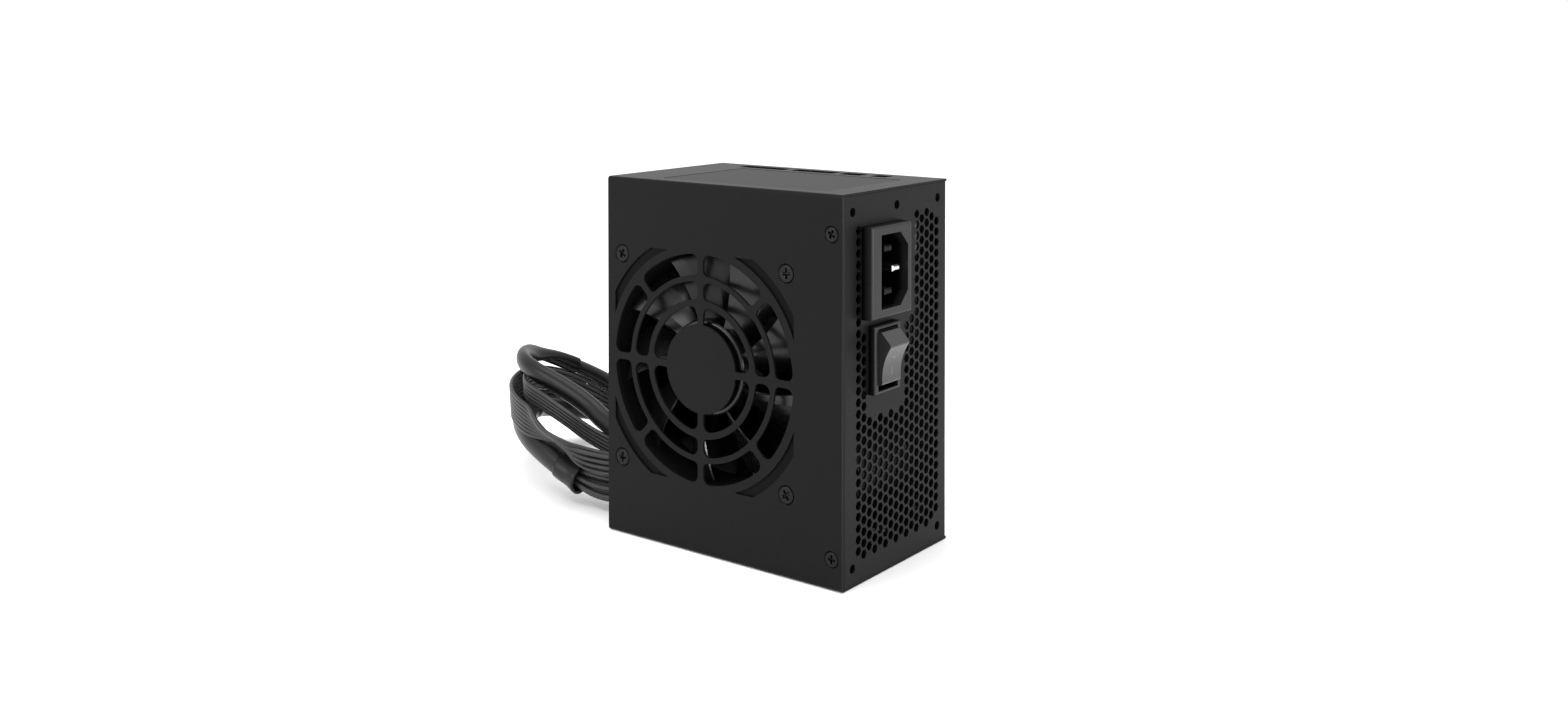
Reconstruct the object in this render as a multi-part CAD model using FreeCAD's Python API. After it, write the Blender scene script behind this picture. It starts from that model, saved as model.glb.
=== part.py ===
"""Small-form-factor computer power supply, standing on its short side with its cables led round behind it.

Frame, in millimetres: the unit stands on Z = 0, centred on X and Y. -X is the cable wall, +X the mains wall,
-Y the fan side and +Y the back, where the circuit board lies. Every piece is a solid of its own in parts/.
"""

import FreeCAD
import Part

import math
import os

V = FreeCAD.Vector
X_AXIS = V(1, 0, 0)
Y_AXIS = V(0, 1, 0)
Z_AXIS = V(0, 0, 1)

# ---------------------------------------------------------------- housing
DEPTH = 100.0  # cable wall to mains wall, along X
THICK = 63.5  # fan side to back, along Y
HEIGHT = 125.0  # as it stands, along Z
SHEET = 0.8  # steel sheet
SEAM = 0.1  # gap between neighbouring sheets
BEND = 1.1  # outer radius of a folded edge
FLANGE = 6.0  # depth of the folded inner flanges

# ---------------------------------------------------------------- vents and label recess in the narrow side
VENT_SPANS = ((-34.5, -13.5), (-10.5, 8.5), (11.0, 20.5), (24.5, 31.0))  # along X, as shares of DEPTH / 100
VENT_IN = 6.9  # from the back
VENT_W = 5.6
VENT_ROUND = 1.0
LABEL_SPAN = (-30.0, 40.0)
LABEL_FRONT = 5.75  # from the fan side
LABEL_BACK = 13.0  # from the back
LABEL_DEEP = 0.2
LABEL_T = 0.12
LABEL_EASE = 0.25
LABEL_ROUND = 2.0

# ---------------------------------------------------------------- fan and its stamped guard
FAN_SIZE = 80.0
FAN_DEPTH = 15.0
FAN_HOLE_IN = 4.25  # screw holes, in from the fan's sides
FAN_EDGE_GAP = 2.35  # fan frame to the outside of the cable wall
FAN_RIM = 1.3  # thinnest wall round the bore
FAN_BLADES = 9
FAN_TIP_GAP = 0.9
FAN_HUB_R = 16.3
FAN_HUB_SET_BACK = 2.7  # hub face behind the outside of the cover
FAN_BLADE_PHASE = 23.5  # degrees, leading edge at the hub
FAN_BLADE_SWEEP = 12.0  # degrees the tip leads the root
FAN_BLADE_CHORD = 27.0  # degrees covered by one blade
FAN_BLADE_T = 1.1
FAN_HUB_T = 1.6
FAN_TUBE_R = 4.0
FAN_BEARING_R = 3.0
FAN_SHAFT_R = 1.5
FAN_SHAFT_GAP = 0.05
FAN_LEAD_IN = (9.0, 3.5)  # where the lead leaves the fan, in from its mains side and from its top
GUARD_DISC_R = 15.0
GUARD_BARS = (2.2, 1.9)  # ring-shaped bars between the three rings of slots
GUARD_SHARES = (0.315, 0.315, 0.37)  # how the three rings of slots share the rest
GUARD_SPOKE = 2.4
GUARD_CORNER_OUT = 1.6  # corner slots, from the fan's half size to their inner arc
GUARD_CORNER_W = 3.3
GUARD_CORNER_IN = 1.0  # the corner slots stop this far inside the fan's sides
SLOT_ROUND = 2.6
SLOT_ROUND_MOST = 0.42  # of the slot's width
SCREW_HEAD_R = 3.1
SCREW_HEAD_GAP = 0.3
FAN_SCREW_R = 2.1
FAN_SCREW_LONG = 9.0

# ---------------------------------------------------------------- mains wall
MOUNT_HOLE_IN = 6.0  # mounting holes, in from the edges of the wall
MOUNT_HOLE_R = 1.5
MOUNT_COLLAR_R = 2.4
MOUNT_COLLAR_LONG = 1.6  # extruded collar behind the sheet
HEX_PITCH = 3.65
HEX_FLATS = 2.75
HEX_SIDE = 9.35  # first column, from the fan side
HEX_FAR_SIDE = 6.7  # solid margin at the back
HEX_LOW_Z = 10.7
HEX_EDGE = 10.0  # solid margin above the honeycomb
HEX_CLEAR = 5.0  # no perforation this near a mounting hole
COVER_SCREW_IN = 4.1  # cover screws, in from the mains wall
COVER_SCREW_LOW = 9.75
COVER_SCREW_HIGH = 12.7  # down from the top
COVER_SCREW_R = 1.5
COVER_HEAD_R = 2.6

# ---------------------------------------------------------------- mains inlet
INLET_Y = -9.0
INLET_TOP_GAP = 11.2  # from the top of the housing
INLET_W = 23.4
INLET_H = 29.6
INLET_PROUD = 4.2
INLET_BODY_W = 20.4
INLET_BODY_H = 27.0
INLET_BODY_DEEP = 16.0
INLET_FIT = 0.15
SOCKET_W = 15.8
SOCKET_H = 23.9
SOCKET_OFFSET_Y = 1.35
SOCKET_DEEP = 16.0
SOCKET_CHAMFER = 4.5
PIN_PITCH = 14.0
PIN_W = 4.0
PIN_T = 2.0
EARTH_PIN_OFFSET = 4.5
PIN_SHORT_OF_FACE = 1.5
TAB_W = 6.3
TAB_T = 0.8
TAB_LONG = 7.0

# ---------------------------------------------------------------- rocker switch
SWITCH_Y = -9.25
SWITCH_TOP_GAP = 2.6  # from the inlet
SWITCH_W = 15.0
SWITCH_H = 22.1
SWITCH_PROUD = 2.7
SWITCH_BODY_W = 12.9
SWITCH_BODY_H = 20.9
SWITCH_BODY_DEEP = 13.0
SWITCH_WELL_W = 11.5
SWITCH_WELL_H = 20.1
SWITCH_WELL_DEEP = 8.2
SWITCH_TAB_W = 4.8
SWITCH_TAB_LONG = 8.0
SWITCH_TAB_PITCH = 13.0
ROCKER_SIDE_GAP = 0.3
ROCKER_HALF_H = 9.6
ROCKER_CREST_U = 6.6
ROCKER_CREST_V = 6.0
ROCKER_MIDDLE_V = 4.7
ROCKER_END_V = 1.2
ROCKER_UNDER_V = -2.0
ROCKER_PIVOT_OUT = 0.3  # pivot in front of the mains wall
ROCKER_TILT = 15.0  # degrees each way from level
ROCKER_AXLE_R = 1.2
ROCKER_AXLE_GAP = 0.05
ROCKER_AXLE_LONG = 0.45  # into the wall of the well

# ---------------------------------------------------------------- cable outlet, on the cable wall
OUTLET_Y = -14.5
OUTLET_LOW = 2.5  # from the floor
OUTLET_W = 21.5
OUTLET_H = 30.0
OUTLET_ROUND = 7.0
BUSHING_WALL = 1.25
BUSHING_PROUD = 1.5
BUSHING_INNER = 1.0
BUSHING_LIP = 1.6

# ---------------------------------------------------------------- circuit board and what stands on it
BOARD_T = 1.6
BOARD_MARGIN = 3.2  # board edge to the housing's inside
STANDOFF_LONG = 4.0
STANDOFF_R = 2.6
BOARD_SCREW_R = 1.4
BOARD_HOLE_IN = 5.0
BOARD_SCREW_SHIFT = 10.0  # the screw by the cable outlet stands clear of the output bundle
FILM_T = 0.3
FAN_CLEAR = 8.3  # between the tallest pieces and the fan
BULK_CAP_R = 12.5
BULK_CAP_LONG = 32.0
PLATE_T = 3.0
PLATE_LONG = 56.0
FIN_T = 1.2
FIN_LONG = 4.0
DEVICE = (4.5, 10.2, 15.5)  # thick, wide, tall
DEVICE_PITCH = 15.0
CORE = (28.0, 33.0, 29.0)  # along X, along Z, high
STANDBY_CORE = (16.0, 18.0, 16.0)
OUT_CAP_R = 4.8
OUT_CAP_LONG = 20.0
OUT_CAPS = 4
CHOKE_R = 10.5
CHOKE_HOLE_R = 5.0
CHOKE_T = 9.0
FILTER_CAP = (8.0, 18.0, 14.0)
BRIDGE = (4.0, 20.0, 16.0)
FUSE_R = 2.6
FUSE_LONG = 13.0
CONTROL_BOARD = (1.6, 26.0, 18.0)
CONNECTOR = (5.0, 6.0, 7.0)
LEAD_R = 1.1
FAN_LEAD_R = 1.2
# places on the board: primary side as (in from the mains wall, above the switch), the rest as stated
BULK_CAP_AT = (22.5, -43.05)
PFC_CHOKE_AT = (20.0, -18.55)
FILTER_CAP_AT = (10.5, 7.45)
BRIDGE_AT = (30.0, 13.45)
LINE_CHOKE_AT = (40.0, 35.45)
CONNECTOR_AT = (26.65, 28.45)
FUSE_IN = 9.0  # its lower end is level with the inlet's middle
PRIMARY_PLATE_AT = (38.5, -12.55)
PRIMARY_DEVICES_UP = 12.0  # above the middle of the plate
SECONDARY_PLATE_IN = 20.5  # from here on, in from the cable wall
SECONDARY_PLATE_Z = 56.0
OUT_CAP_IN = 9.5
OUT_CAP_GAP = 5.5  # from the outlet's top to the axis of the first
OUT_CAP_PITCH = 12.0
OUT_CHOKE_IN = 16.5
OUT_CHOKE_Z = 99.0
CONTROL_IN = 30.0
CONTROL_Z = 101.0
CORE_X = -9.0
CORE_Z = 58.0
STANDBY_Z = 96.0

# ---------------------------------------------------------------- cables
CORD_START_SET_IN = 1.1  # behind the outside of the cable wall
CORD_OVERSHOOT = 3.0  # past the faces that a cable meets, before it is trimmed flush with them
BUNDLE_PLATE_T = 1.0
BUNDLE_DEEP = 11.0
CORD_FLOOR = 0.2  # plugs and cables lie this far clear of the floor
POWER_PLUG = (18.0, 18.2, 9.8)  # along X, across, tall: eight contacts, lying flat
DRIVE_PLUG = (16.0, 6.0, 21.0)  # standing on edge between the other cables
MAIN_PLUG = (20.0, 51.6, 15.0)  # twenty-four contacts, lying across the other cables
MAIN_PLUG_Z = 9.8
MAIN_PLUG_Y = 58.5
CPU_PLUG_Y = 62.2
GRAPHICS_PLUG_Y = 43.0
CONTACT_PITCH = 4.2
CONTACT = 3.2
LATCH = (12.0, 6.0, 2.0)
LATCH_IN = 4.0  # behind the end where the wires go in
# centreline of each cable: radius, then the corners of the route that the runs and arcs follow
CABLES = {
    "main_cable": (
        5.4,
        (
            (-48.9, -14.6, 9.8),
            (-67.7, -15.4, 6.3),
            (-88.8, -17.3, 12.7),
            (-118.7, -11.3, 23.3),
            (-147.2, 26.6, 19.2),
            (-121.6, 71.5, 5.9),
            (-72.0, 72.2, 7.0),
            (-44.0, 71.4, 5.8),
            (-18.0, 69.5, 17.3),
        ),
    ),
    "cpu_cable": (
        4.5,
        (
            (-48.9, -18.8, 19.5),
            (-69.3, -21.3, 16.9),
            (-86.5, -24.3, 24.9),
            (-121.0, -17.1, 31.6),
            (-141.3, 19.3, 32.9),
            (-117.0, 61.0, 12.5),
            (-70.0, 61.5, 4.9),
            (-30.0, 60.8, 5.1),
            (6.0, 61.0, 4.9),
        ),
    ),
    "drive_cable": (
        3.25,
        (
            (-48.9, -10.2, 18.2),
            (-69.0, -13.5, 21.9),
            (-90.9, -19.0, 34.0),
            (-115.6, -15.1, 38.6),
            (-130.3, 18.9, 34.8),
            (-113.1, 50.8, 13.1),
            (-86.0, 52.2, 3.8),
            (-56.0, 52.2, 5.6),
            (-34.0, 52.0, 10.2),
        ),
    ),
    "graphics_cable": (
        4.0,
        (
            (-48.9, -14.5, 27.0),
            (-65.6, -13.0, 28.5),
            (-84.6, -9.5, 36.6),
            (-119.2, -12.6, 47.5),
            (-137.7, 18.4, 43.6),
            (-115.4, 47.6, 25.4),
            (-72.0, 44.0, 5.2),
            (-30.0, 43.2, 4.8),
            (6.0, 43.5, 4.4),
        ),
    ),
}

# ---------------------------------------------------------------- places worked out from the sizes above
X_MAINS = DEPTH / 2
X_CABLE = -DEPTH / 2
Y_FAN = -THICK / 2
Y_BACK = THICK / 2
IN_MAINS = X_MAINS - SHEET
IN_CABLE = X_CABLE + SHEET
IN_FAN = Y_FAN + SHEET
IN_BACK = Y_BACK - SHEET
FAN_X = X_CABLE + FAN_EDGE_GAP + FAN_SIZE / 2
FAN_Z = HEIGHT / 2
FAN_BACK_Y = IN_FAN + FAN_DEPTH
FAN_BORE_R = FAN_SIZE / 2 - FAN_RIM
FAN_HOLE_PITCH = FAN_SIZE - 2 * FAN_HOLE_IN
INLET_Z = HEIGHT - INLET_TOP_GAP - INLET_H / 2
SWITCH_Z = INLET_Z - INLET_H / 2 - SWITCH_TOP_GAP - SWITCH_H / 2
OUTLET_Z = OUTLET_LOW + OUTLET_H / 2
PIVOT_X = X_MAINS + ROCKER_PIVOT_OUT
CORD_START_X = X_CABLE + CORD_START_SET_IN
BUNDLE_X0 = CORD_START_X + BUNDLE_PLATE_T
BUNDLE_X1 = CORD_START_X + BUNDLE_DEEP
BOARD_Y = IN_BACK - STANDOFF_LONG - BOARD_T  # the board's component side
PLATE_HIGH = BOARD_Y - FAN_BACK_Y - FAN_CLEAR
COVER_SCREWS = (
    (X_MAINS - COVER_SCREW_IN, COVER_SCREW_LOW),
    (X_MAINS - COVER_SCREW_IN, HEIGHT - COVER_SCREW_HIGH),
)
FAN_SCREWS = [
    (FAN_X + i * FAN_HOLE_PITCH / 2, FAN_Z + k * FAN_HOLE_PITCH / 2) for i in (-1, 1) for k in (-1, 1)
]
MOUNT_Y = THICK / 2 - MOUNT_HOLE_IN
MOUNT_LOW = MOUNT_HOLE_IN
MOUNT_HIGH = HEIGHT - MOUNT_HOLE_IN
MOUNT_HOLES = [(y, z) for y in (-MOUNT_Y, MOUNT_Y) for z in (MOUNT_LOW, MOUNT_HIGH)] + [(0.0, MOUNT_HIGH)]


# ---------------------------------------------------------------- small tools
def block(x0, x1, y0, y1, z0, z1):
    """A box between two corners."""
    return Part.makeBox(x1 - x0, y1 - y0, z1 - z0, V(x0, y0, z0))


def rod(r, start, end):
    """A round bar between two points."""
    line = V(*end) - V(*start)
    return Part.makeCylinder(r, line.Length, V(*start), line)


def cone(r0, r1, start, end):
    line = V(*end) - V(*start)
    return Part.makeCone(r0, r1, line.Length, V(*start), line)


def polygon_wire(points):
    return Part.makePolygon([V(*p) for p in points] + [V(*points[0])])


def rounded(shape, radius, wanted):
    """The shape with those edges rounded that wanted(edge) picks."""
    edges = [e for e in shape.Edges if wanted(e)]
    return shape.makeFillet(radius, edges) if edges else shape


def runs_along(edge, axis):
    """Whether an edge is straight and parallel to an axis."""
    if not isinstance(edge.Curve, (Part.Line, Part.LineSegment)):
        return False
    return abs(abs(edge.tangentAt(edge.FirstParameter).dot(axis)) - 1) < 1e-6


def one_solid(shape):
    """The shape as one clean solid."""
    clean = shape.removeSplitter()
    return clean.Solids[0] if len(clean.Solids) == 1 else clean


def save(name, *shapes):
    """Writes parts/NAME.step from one or more shapes, as separate solids."""
    solids = [s for shape in shapes for s in shape.Solids]
    for solid in solids:
        if not solid.isValid() or solid.Volume <= 0:
            raise ValueError(f"{name} has a bad solid")
    Part.makeCompound(solids).exportStep(f"parts/{name}.step")


def slot_block(w, h, radius, x0, x1, y, z):
    """A rounded rectangle, w along Y and h along Z, from x0 to x1."""
    shape = block(x0, x1, y - w / 2, y + w / 2, z - h / 2, z + h / 2)
    return rounded(shape, radius, lambda e: runs_along(e, X_AXIS))


# ---------------------------------------------------------------- fan cover: fan side and both narrow sides
def ring_cutter(r_in, r_out, y0, y1):
    outer = rod(r_out, (FAN_X, y0, FAN_Z), (FAN_X, y1, FAN_Z))
    return outer.cut(rod(r_in, (FAN_X, y0 - 1, FAN_Z), (FAN_X, y1 + 1, FAN_Z)))


def spoke_blocks(y0, y1, diagonal):
    reach = FAN_SIZE
    half = GUARD_SPOKE / 2
    bars = [
        block(FAN_X - reach, FAN_X + reach, y0 - 1, y1 + 1, FAN_Z - half, FAN_Z + half),
        block(FAN_X - half, FAN_X + half, y0 - 1, y1 + 1, FAN_Z - reach, FAN_Z + reach),
    ]
    if diagonal:
        for angle in (45, 135):
            bar = block(FAN_X - reach, FAN_X + reach, y0 - 1, y1 + 1, FAN_Z - half, FAN_Z + half)
            bar.rotate(V(FAN_X, 0, FAN_Z), Y_AXIS, angle)
            bars.append(bar)
    return Part.makeCompound(bars)


def guard_bands():
    """Inner and outer radius of each ring of slots, from the disc out to the fan's bore."""
    r_most = FAN_BORE_R + 0.1
    room = r_most - GUARD_DISC_R - sum(GUARD_BARS)
    bands = []
    r = GUARD_DISC_R
    for share, bar in zip(GUARD_SHARES, GUARD_BARS + (0.0,)):
        bands.append((r, r + share * room))
        r += share * room + bar
    return bands


def guard_cutters(y0, y1):
    """The stamped slots of the finger guard, as solids to cut away."""
    cutters = []
    for number, (r_in, r_out) in enumerate(guard_bands()):
        radius = min(SLOT_ROUND, SLOT_ROUND_MOST * (r_out - r_in))
        band = ring_cutter(r_in, r_out, y0, y1).cut(spoke_blocks(y0, y1, diagonal=number == 2))
        for piece in band.Solids:
            outer = [e for e in piece.Edges if runs_along(e, Y_AXIS) and edge_radius(e) > (r_in + r_out) / 2]
            piece = piece.makeFillet(radius, outer)
            if number > 0:
                inner = [e for e in piece.Edges if runs_along(e, Y_AXIS) and edge_radius(e) < r_in + 0.5]
                piece = piece.makeFillet(radius * 0.7, inner)
            cutters.append(piece)
    r_in = FAN_SIZE / 2 + GUARD_CORNER_OUT
    r_out = r_in + GUARD_CORNER_W
    limit = FAN_SIZE / 2 - GUARD_CORNER_IN
    square = block(FAN_X - limit, FAN_X + limit, y0 - 1, y1 + 1, FAN_Z - limit, FAN_Z + limit)
    cutters += ring_cutter(r_in, r_out, y0, y1).common(square).Solids
    return cutters


def edge_radius(edge):
    p = edge.CenterOfMass
    return math.hypot(p.x - FAN_X, p.z - FAN_Z)


def countersink(x, z, head_r):
    """A countersunk hole in the fan side for a flat-headed screw."""
    top = head_r + SCREW_HEAD_GAP
    return cone(top, top - SHEET * 0.9, (x, Y_FAN, z), (x, IN_FAN, z))


def label_block(ease, z0, z1):
    scale = DEPTH / 100
    low, high = (x * scale for x in LABEL_SPAN)
    shape = block(low + ease, high - ease, Y_FAN + LABEL_FRONT + ease, Y_BACK - LABEL_BACK - ease, z0, z1)
    return rounded(shape, LABEL_ROUND, lambda e: runs_along(e, Z_AXIS))


def make_fan_cover():
    shell = block(X_CABLE, X_MAINS, Y_FAN, Y_BACK, 0, HEIGHT)
    shell = rounded(shell, BEND, lambda e: runs_along(e, X_AXIS) and e.CenterOfMass.y < 0)
    room = block(X_CABLE - 1, X_MAINS + 1, IN_FAN, Y_BACK + 1, SHEET, HEIGHT - SHEET)
    room = rounded(room, BEND - SHEET, lambda e: runs_along(e, X_AXIS) and e.CenterOfMass.y < 0)
    shell = shell.cut(room)
    cutters = guard_cutters(Y_FAN - 1, IN_FAN + 1)
    cutters += [countersink(x, z, SCREW_HEAD_R) for x, z in FAN_SCREWS]
    cutters += [countersink(x, z, COVER_HEAD_R) for x, z in COVER_SCREWS]
    for low, high in VENT_SPANS:
        vent = block(
            low * DEPTH / 100,
            high * DEPTH / 100,
            Y_BACK - VENT_IN - VENT_W / 2,
            Y_BACK - VENT_IN + VENT_W / 2,
            -1,
            HEIGHT + 1,
        )
        cutters.append(rounded(vent, VENT_ROUND, lambda e: runs_along(e, Z_AXIS)))
    cutters.append(label_block(0, HEIGHT - LABEL_DEEP, HEIGHT + 1))
    return shell.cut(Part.makeCompound(cutters))


def make_side_label():
    return label_block(LABEL_EASE, HEIGHT - LABEL_DEEP, HEIGHT - LABEL_DEEP + LABEL_T)


# ---------------------------------------------------------------- chassis tray: the mains, back and cable walls
def hexagon_centres():
    """Where the mains wall is perforated: a hexagonal grid kept off the inlet, the switch and the holes."""
    keep_out = (
        (INLET_Y - INLET_W / 2 - 1.5, INLET_Y + INLET_W / 2 + 7.5, INLET_Z - INLET_H / 2 - 3.5, HEIGHT),
        (
            SWITCH_Y - SWITCH_W / 2 - 2.0,
            SWITCH_Y + SWITCH_W / 2 + 6.0,
            SWITCH_Z - SWITCH_H / 2 - 7.5,
            INLET_Z,
        ),
    )
    centres = []
    step = HEX_PITCH * math.sqrt(3) / 2
    first = Y_FAN + HEX_SIDE
    for column in range(int((Y_BACK - HEX_FAR_SIDE - first) / step) + 1):
        y = first + column * step
        z = HEX_LOW_Z - (HEX_PITCH / 2 if column % 2 else 0)
        while z <= HEIGHT - HEX_EDGE:
            blocked = any(y0 < y < y1 and z0 < z < z1 for y0, y1, z0, z1 in keep_out)
            crowded = any(math.hypot(y - my, z - mz) < HEX_CLEAR for my, mz in MOUNT_HOLES)
            if not blocked and not crowded:
                centres.append((y, z))
            z += HEX_PITCH
    return centres


def mains_wall_cutters():
    """Everything that is punched out of the mains wall."""
    x0, x1 = IN_MAINS - 1, X_MAINS + 1
    reach = HEX_FLATS / math.sqrt(3)
    cutters = []
    for y, z in hexagon_centres():
        corners = [math.radians(60 * k) for k in range(6)]
        outline = polygon_wire([(x0, y + reach * math.cos(a), z + reach * math.sin(a)) for a in corners])
        cutters.append(Part.Face(outline).extrude(V(x1 - x0, 0, 0)))
    cutters += [rod(MOUNT_HOLE_R, (x0, y, z), (x1, y, z)) for y, z in MOUNT_HOLES]
    for y, z, w, h in (
        (INLET_Y, INLET_Z, INLET_BODY_W, INLET_BODY_H),
        (SWITCH_Y, SWITCH_Z, SWITCH_BODY_W, SWITCH_BODY_H),
    ):
        cutters.append(rectangle(w + 2 * INLET_FIT, h + 2 * INLET_FIT, x0, x1, y, z))
    return cutters


def make_chassis_tray():
    low, high = SHEET + SEAM, HEIGHT - SHEET - SEAM
    shell = block(X_CABLE, X_MAINS, IN_FAN, Y_BACK, low, high)
    shell = rounded(shell, BEND, lambda e: runs_along(e, Z_AXIS) and is_outer_corner(e))
    flange_x = X_MAINS - FLANGE - 1.5
    shell = shell.cut(block(IN_CABLE, IN_MAINS, IN_FAN + SHEET, IN_BACK, low - 1, high + 1))
    shell = shell.cut(block(IN_CABLE, flange_x, IN_FAN - 1, IN_FAN + SHEET + 1, low - 1, high + 1))
    fan_low, fan_high = FAN_Z - FAN_SIZE / 2 - 2, FAN_Z + FAN_SIZE / 2 + 2
    extras = []
    for z0, z1 in ((low, fan_low), (fan_high, high)):
        extras.append(block(X_CABLE, X_CABLE + FLANGE, IN_FAN, IN_FAN + SHEET, z0, z1))
    for y, z in MOUNT_HOLES:
        extras.append(rod(MOUNT_COLLAR_R, (IN_MAINS - MOUNT_COLLAR_LONG, y, z), (IN_MAINS, y, z)))
    shell = shell.multiFuse(extras)
    cutters = [rod(COVER_SCREW_R, (x, IN_FAN - 1, z), (x, IN_FAN + 2, z)) for x, z in COVER_SCREWS]
    outlet = slot_block(OUTLET_W, OUTLET_H, OUTLET_ROUND, X_CABLE - 1, IN_CABLE + 1, OUTLET_Y, OUTLET_Z)
    cutters.append(outlet)
    for y, z in MOUNT_HOLES:
        cutters.append(rod(MOUNT_HOLE_R, (IN_MAINS - MOUNT_COLLAR_LONG - 1, y, z), (IN_MAINS + 0.4, y, z)))
    shell = shell.cut(Part.makeCompound(cutters))
    return one_solid(shell.cut(Part.makeCompound(mains_wall_cutters())))


def is_outer_corner(edge):
    """The two folds along the back and the one where the mains wall turns in behind the fan side."""
    p = edge.CenterOfMass
    at_mains = abs(p.x - X_MAINS) < 1e-6
    at_back = abs(p.y - Y_BACK) < 1e-6
    return at_back or at_mains


def make_cover_screws():
    screws = []
    for x, z in COVER_SCREWS:
        screws.append(flush_screw(x, z, COVER_HEAD_R, COVER_SCREW_R, 5.0))
    return screws


def flush_screw(x, z, head_r, shank_r, long):
    """A countersunk screw in the fan side, with a cross recess."""
    face = Y_FAN + 0.05
    head = cone(head_r, head_r - SHEET * 0.75, (x, face, z), (x, face + SHEET * 0.8, z))
    shank = rod(shank_r, (x, face + SHEET * 0.8 - 0.01, z), (x, Y_FAN + long, z))
    body = head.fuse(shank)
    arm, width, deep = head_r * 0.55, head_r * 0.17, 0.45
    bars = [block(x - arm, x + arm, face - 1, face + deep, z - width, z + width)]
    bars.append(block(x - width, x + width, face - 1, face + deep, z - arm, z + arm))
    return one_solid(body.cut(Part.makeCompound(bars)))


# ---------------------------------------------------------------- mains inlet
def rectangle(w, h, x0, x1, y, z):
    return block(x0, x1, y - w / 2, y + w / 2, z - h / 2, z + h / 2)


def socket_profile(x0, x1, shrink=0.0):
    """The mains socket: a rectangle with the two corners nearest the earth pin cut off."""
    y0 = INLET_Y + SOCKET_OFFSET_Y - SOCKET_W / 2 + shrink
    y1 = INLET_Y + SOCKET_OFFSET_Y + SOCKET_W / 2 - shrink
    z0 = INLET_Z - SOCKET_H / 2 + shrink
    z1 = INLET_Z + SOCKET_H / 2 - shrink
    c = SOCKET_CHAMFER
    points = ((y0, z0), (y1 - c, z0), (y1, z0 + c), (y1, z1 - c), (y1 - c, z1), (y0, z1))
    return Part.Face(polygon_wire([(x0, y, z) for y, z in points])).extrude(V(x1 - x0, 0, 0))


def inlet_pin_spots():
    line_y = INLET_Y + 0.1
    half = PIN_PITCH / 2
    return ((line_y, INLET_Z - half), (line_y, INLET_Z + half), (line_y + EARTH_PIN_OFFSET, INLET_Z))


def make_inlet_pin(y, z):
    front = X_MAINS + INLET_PROUD
    back = X_MAINS - INLET_BODY_DEEP
    pin = block(back, front - PIN_SHORT_OF_FACE, y - PIN_W / 2, y + PIN_W / 2, z - PIN_T / 2, z + PIN_T / 2)
    pin = pin.makeChamfer(0.5, [e for e in pin.Edges if e.CenterOfMass.x > front - PIN_SHORT_OF_FACE - 1e-6])
    tab = block(back - TAB_LONG, back, y - TAB_W / 2, y + TAB_W / 2, z - TAB_T / 2, z + TAB_T / 2)
    return one_solid(pin.fuse(tab))


def make_inlet_body():
    front = X_MAINS + INLET_PROUD
    back = X_MAINS - INLET_BODY_DEEP
    frame = rectangle(INLET_W, INLET_H, X_MAINS, front, INLET_Y, INLET_Z)
    frame = rounded(frame, 0.8, lambda e: e.CenterOfMass.x > front - 1e-6)
    body = rectangle(INLET_BODY_W, INLET_BODY_H, back, X_MAINS, INLET_Y, INLET_Z)
    clips = []
    for side in (-1, 1):
        z = INLET_Z + side * (INLET_BODY_H / 2 + 0.2)
        clips.append(block(IN_MAINS - 2.5, IN_MAINS, INLET_Y - 4, INLET_Y + 4, z - 0.6, z + 0.6))
    body = body.multiFuse([frame] + clips)
    body = body.cut(socket_profile(front - SOCKET_DEEP, front + 1))
    body = body.cut(Part.makeCompound([make_inlet_pin(y, z) for y, z in inlet_pin_spots()]))
    return one_solid(body)


# ---------------------------------------------------------------- rocker switch
def make_switch_body():
    front = X_MAINS + SWITCH_PROUD
    back = X_MAINS - SWITCH_BODY_DEEP
    bezel = rectangle(SWITCH_W, SWITCH_H, X_MAINS, front, SWITCH_Y, SWITCH_Z)
    bezel = rounded(bezel, 0.7, lambda e: e.CenterOfMass.x > front - 1e-6)
    body = rectangle(SWITCH_BODY_W, SWITCH_BODY_H, back, X_MAINS, SWITCH_Y, SWITCH_Z)
    clips = []
    for side in (-1, 1):
        z = SWITCH_Z + side * (SWITCH_BODY_H / 2 + 0.15)
        clips.append(block(IN_MAINS - 2.0, IN_MAINS, SWITCH_Y - 3, SWITCH_Y + 3, z - 0.45, z + 0.45))
    body = body.multiFuse([bezel] + clips)
    well = rectangle(SWITCH_WELL_W, SWITCH_WELL_H, front - SWITCH_WELL_DEEP, front + 1, SWITCH_Y, SWITCH_Z)
    half = SWITCH_WELL_W / 2 + ROCKER_AXLE_LONG + ROCKER_AXLE_GAP
    r = ROCKER_AXLE_R + ROCKER_AXLE_GAP
    axle = rod(r, (PIVOT_X, SWITCH_Y - half, SWITCH_Z), (PIVOT_X, SWITCH_Y + half, SWITCH_Z))
    return one_solid(body.cut(well).cut(axle))


def switch_tab_spots():
    return [(SWITCH_Y, SWITCH_Z + side * SWITCH_TAB_PITCH / 2) for side in (-1, 1)]


def make_switch_terminals():
    back = X_MAINS - SWITCH_BODY_DEEP
    tabs = []
    for y, z in switch_tab_spots():
        half_w, half_t = SWITCH_TAB_W / 2, TAB_T / 2
        tabs.append(block(back - SWITCH_TAB_LONG, back, y - half_w, y + half_w, z - half_t, z + half_t))
    return tabs


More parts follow.
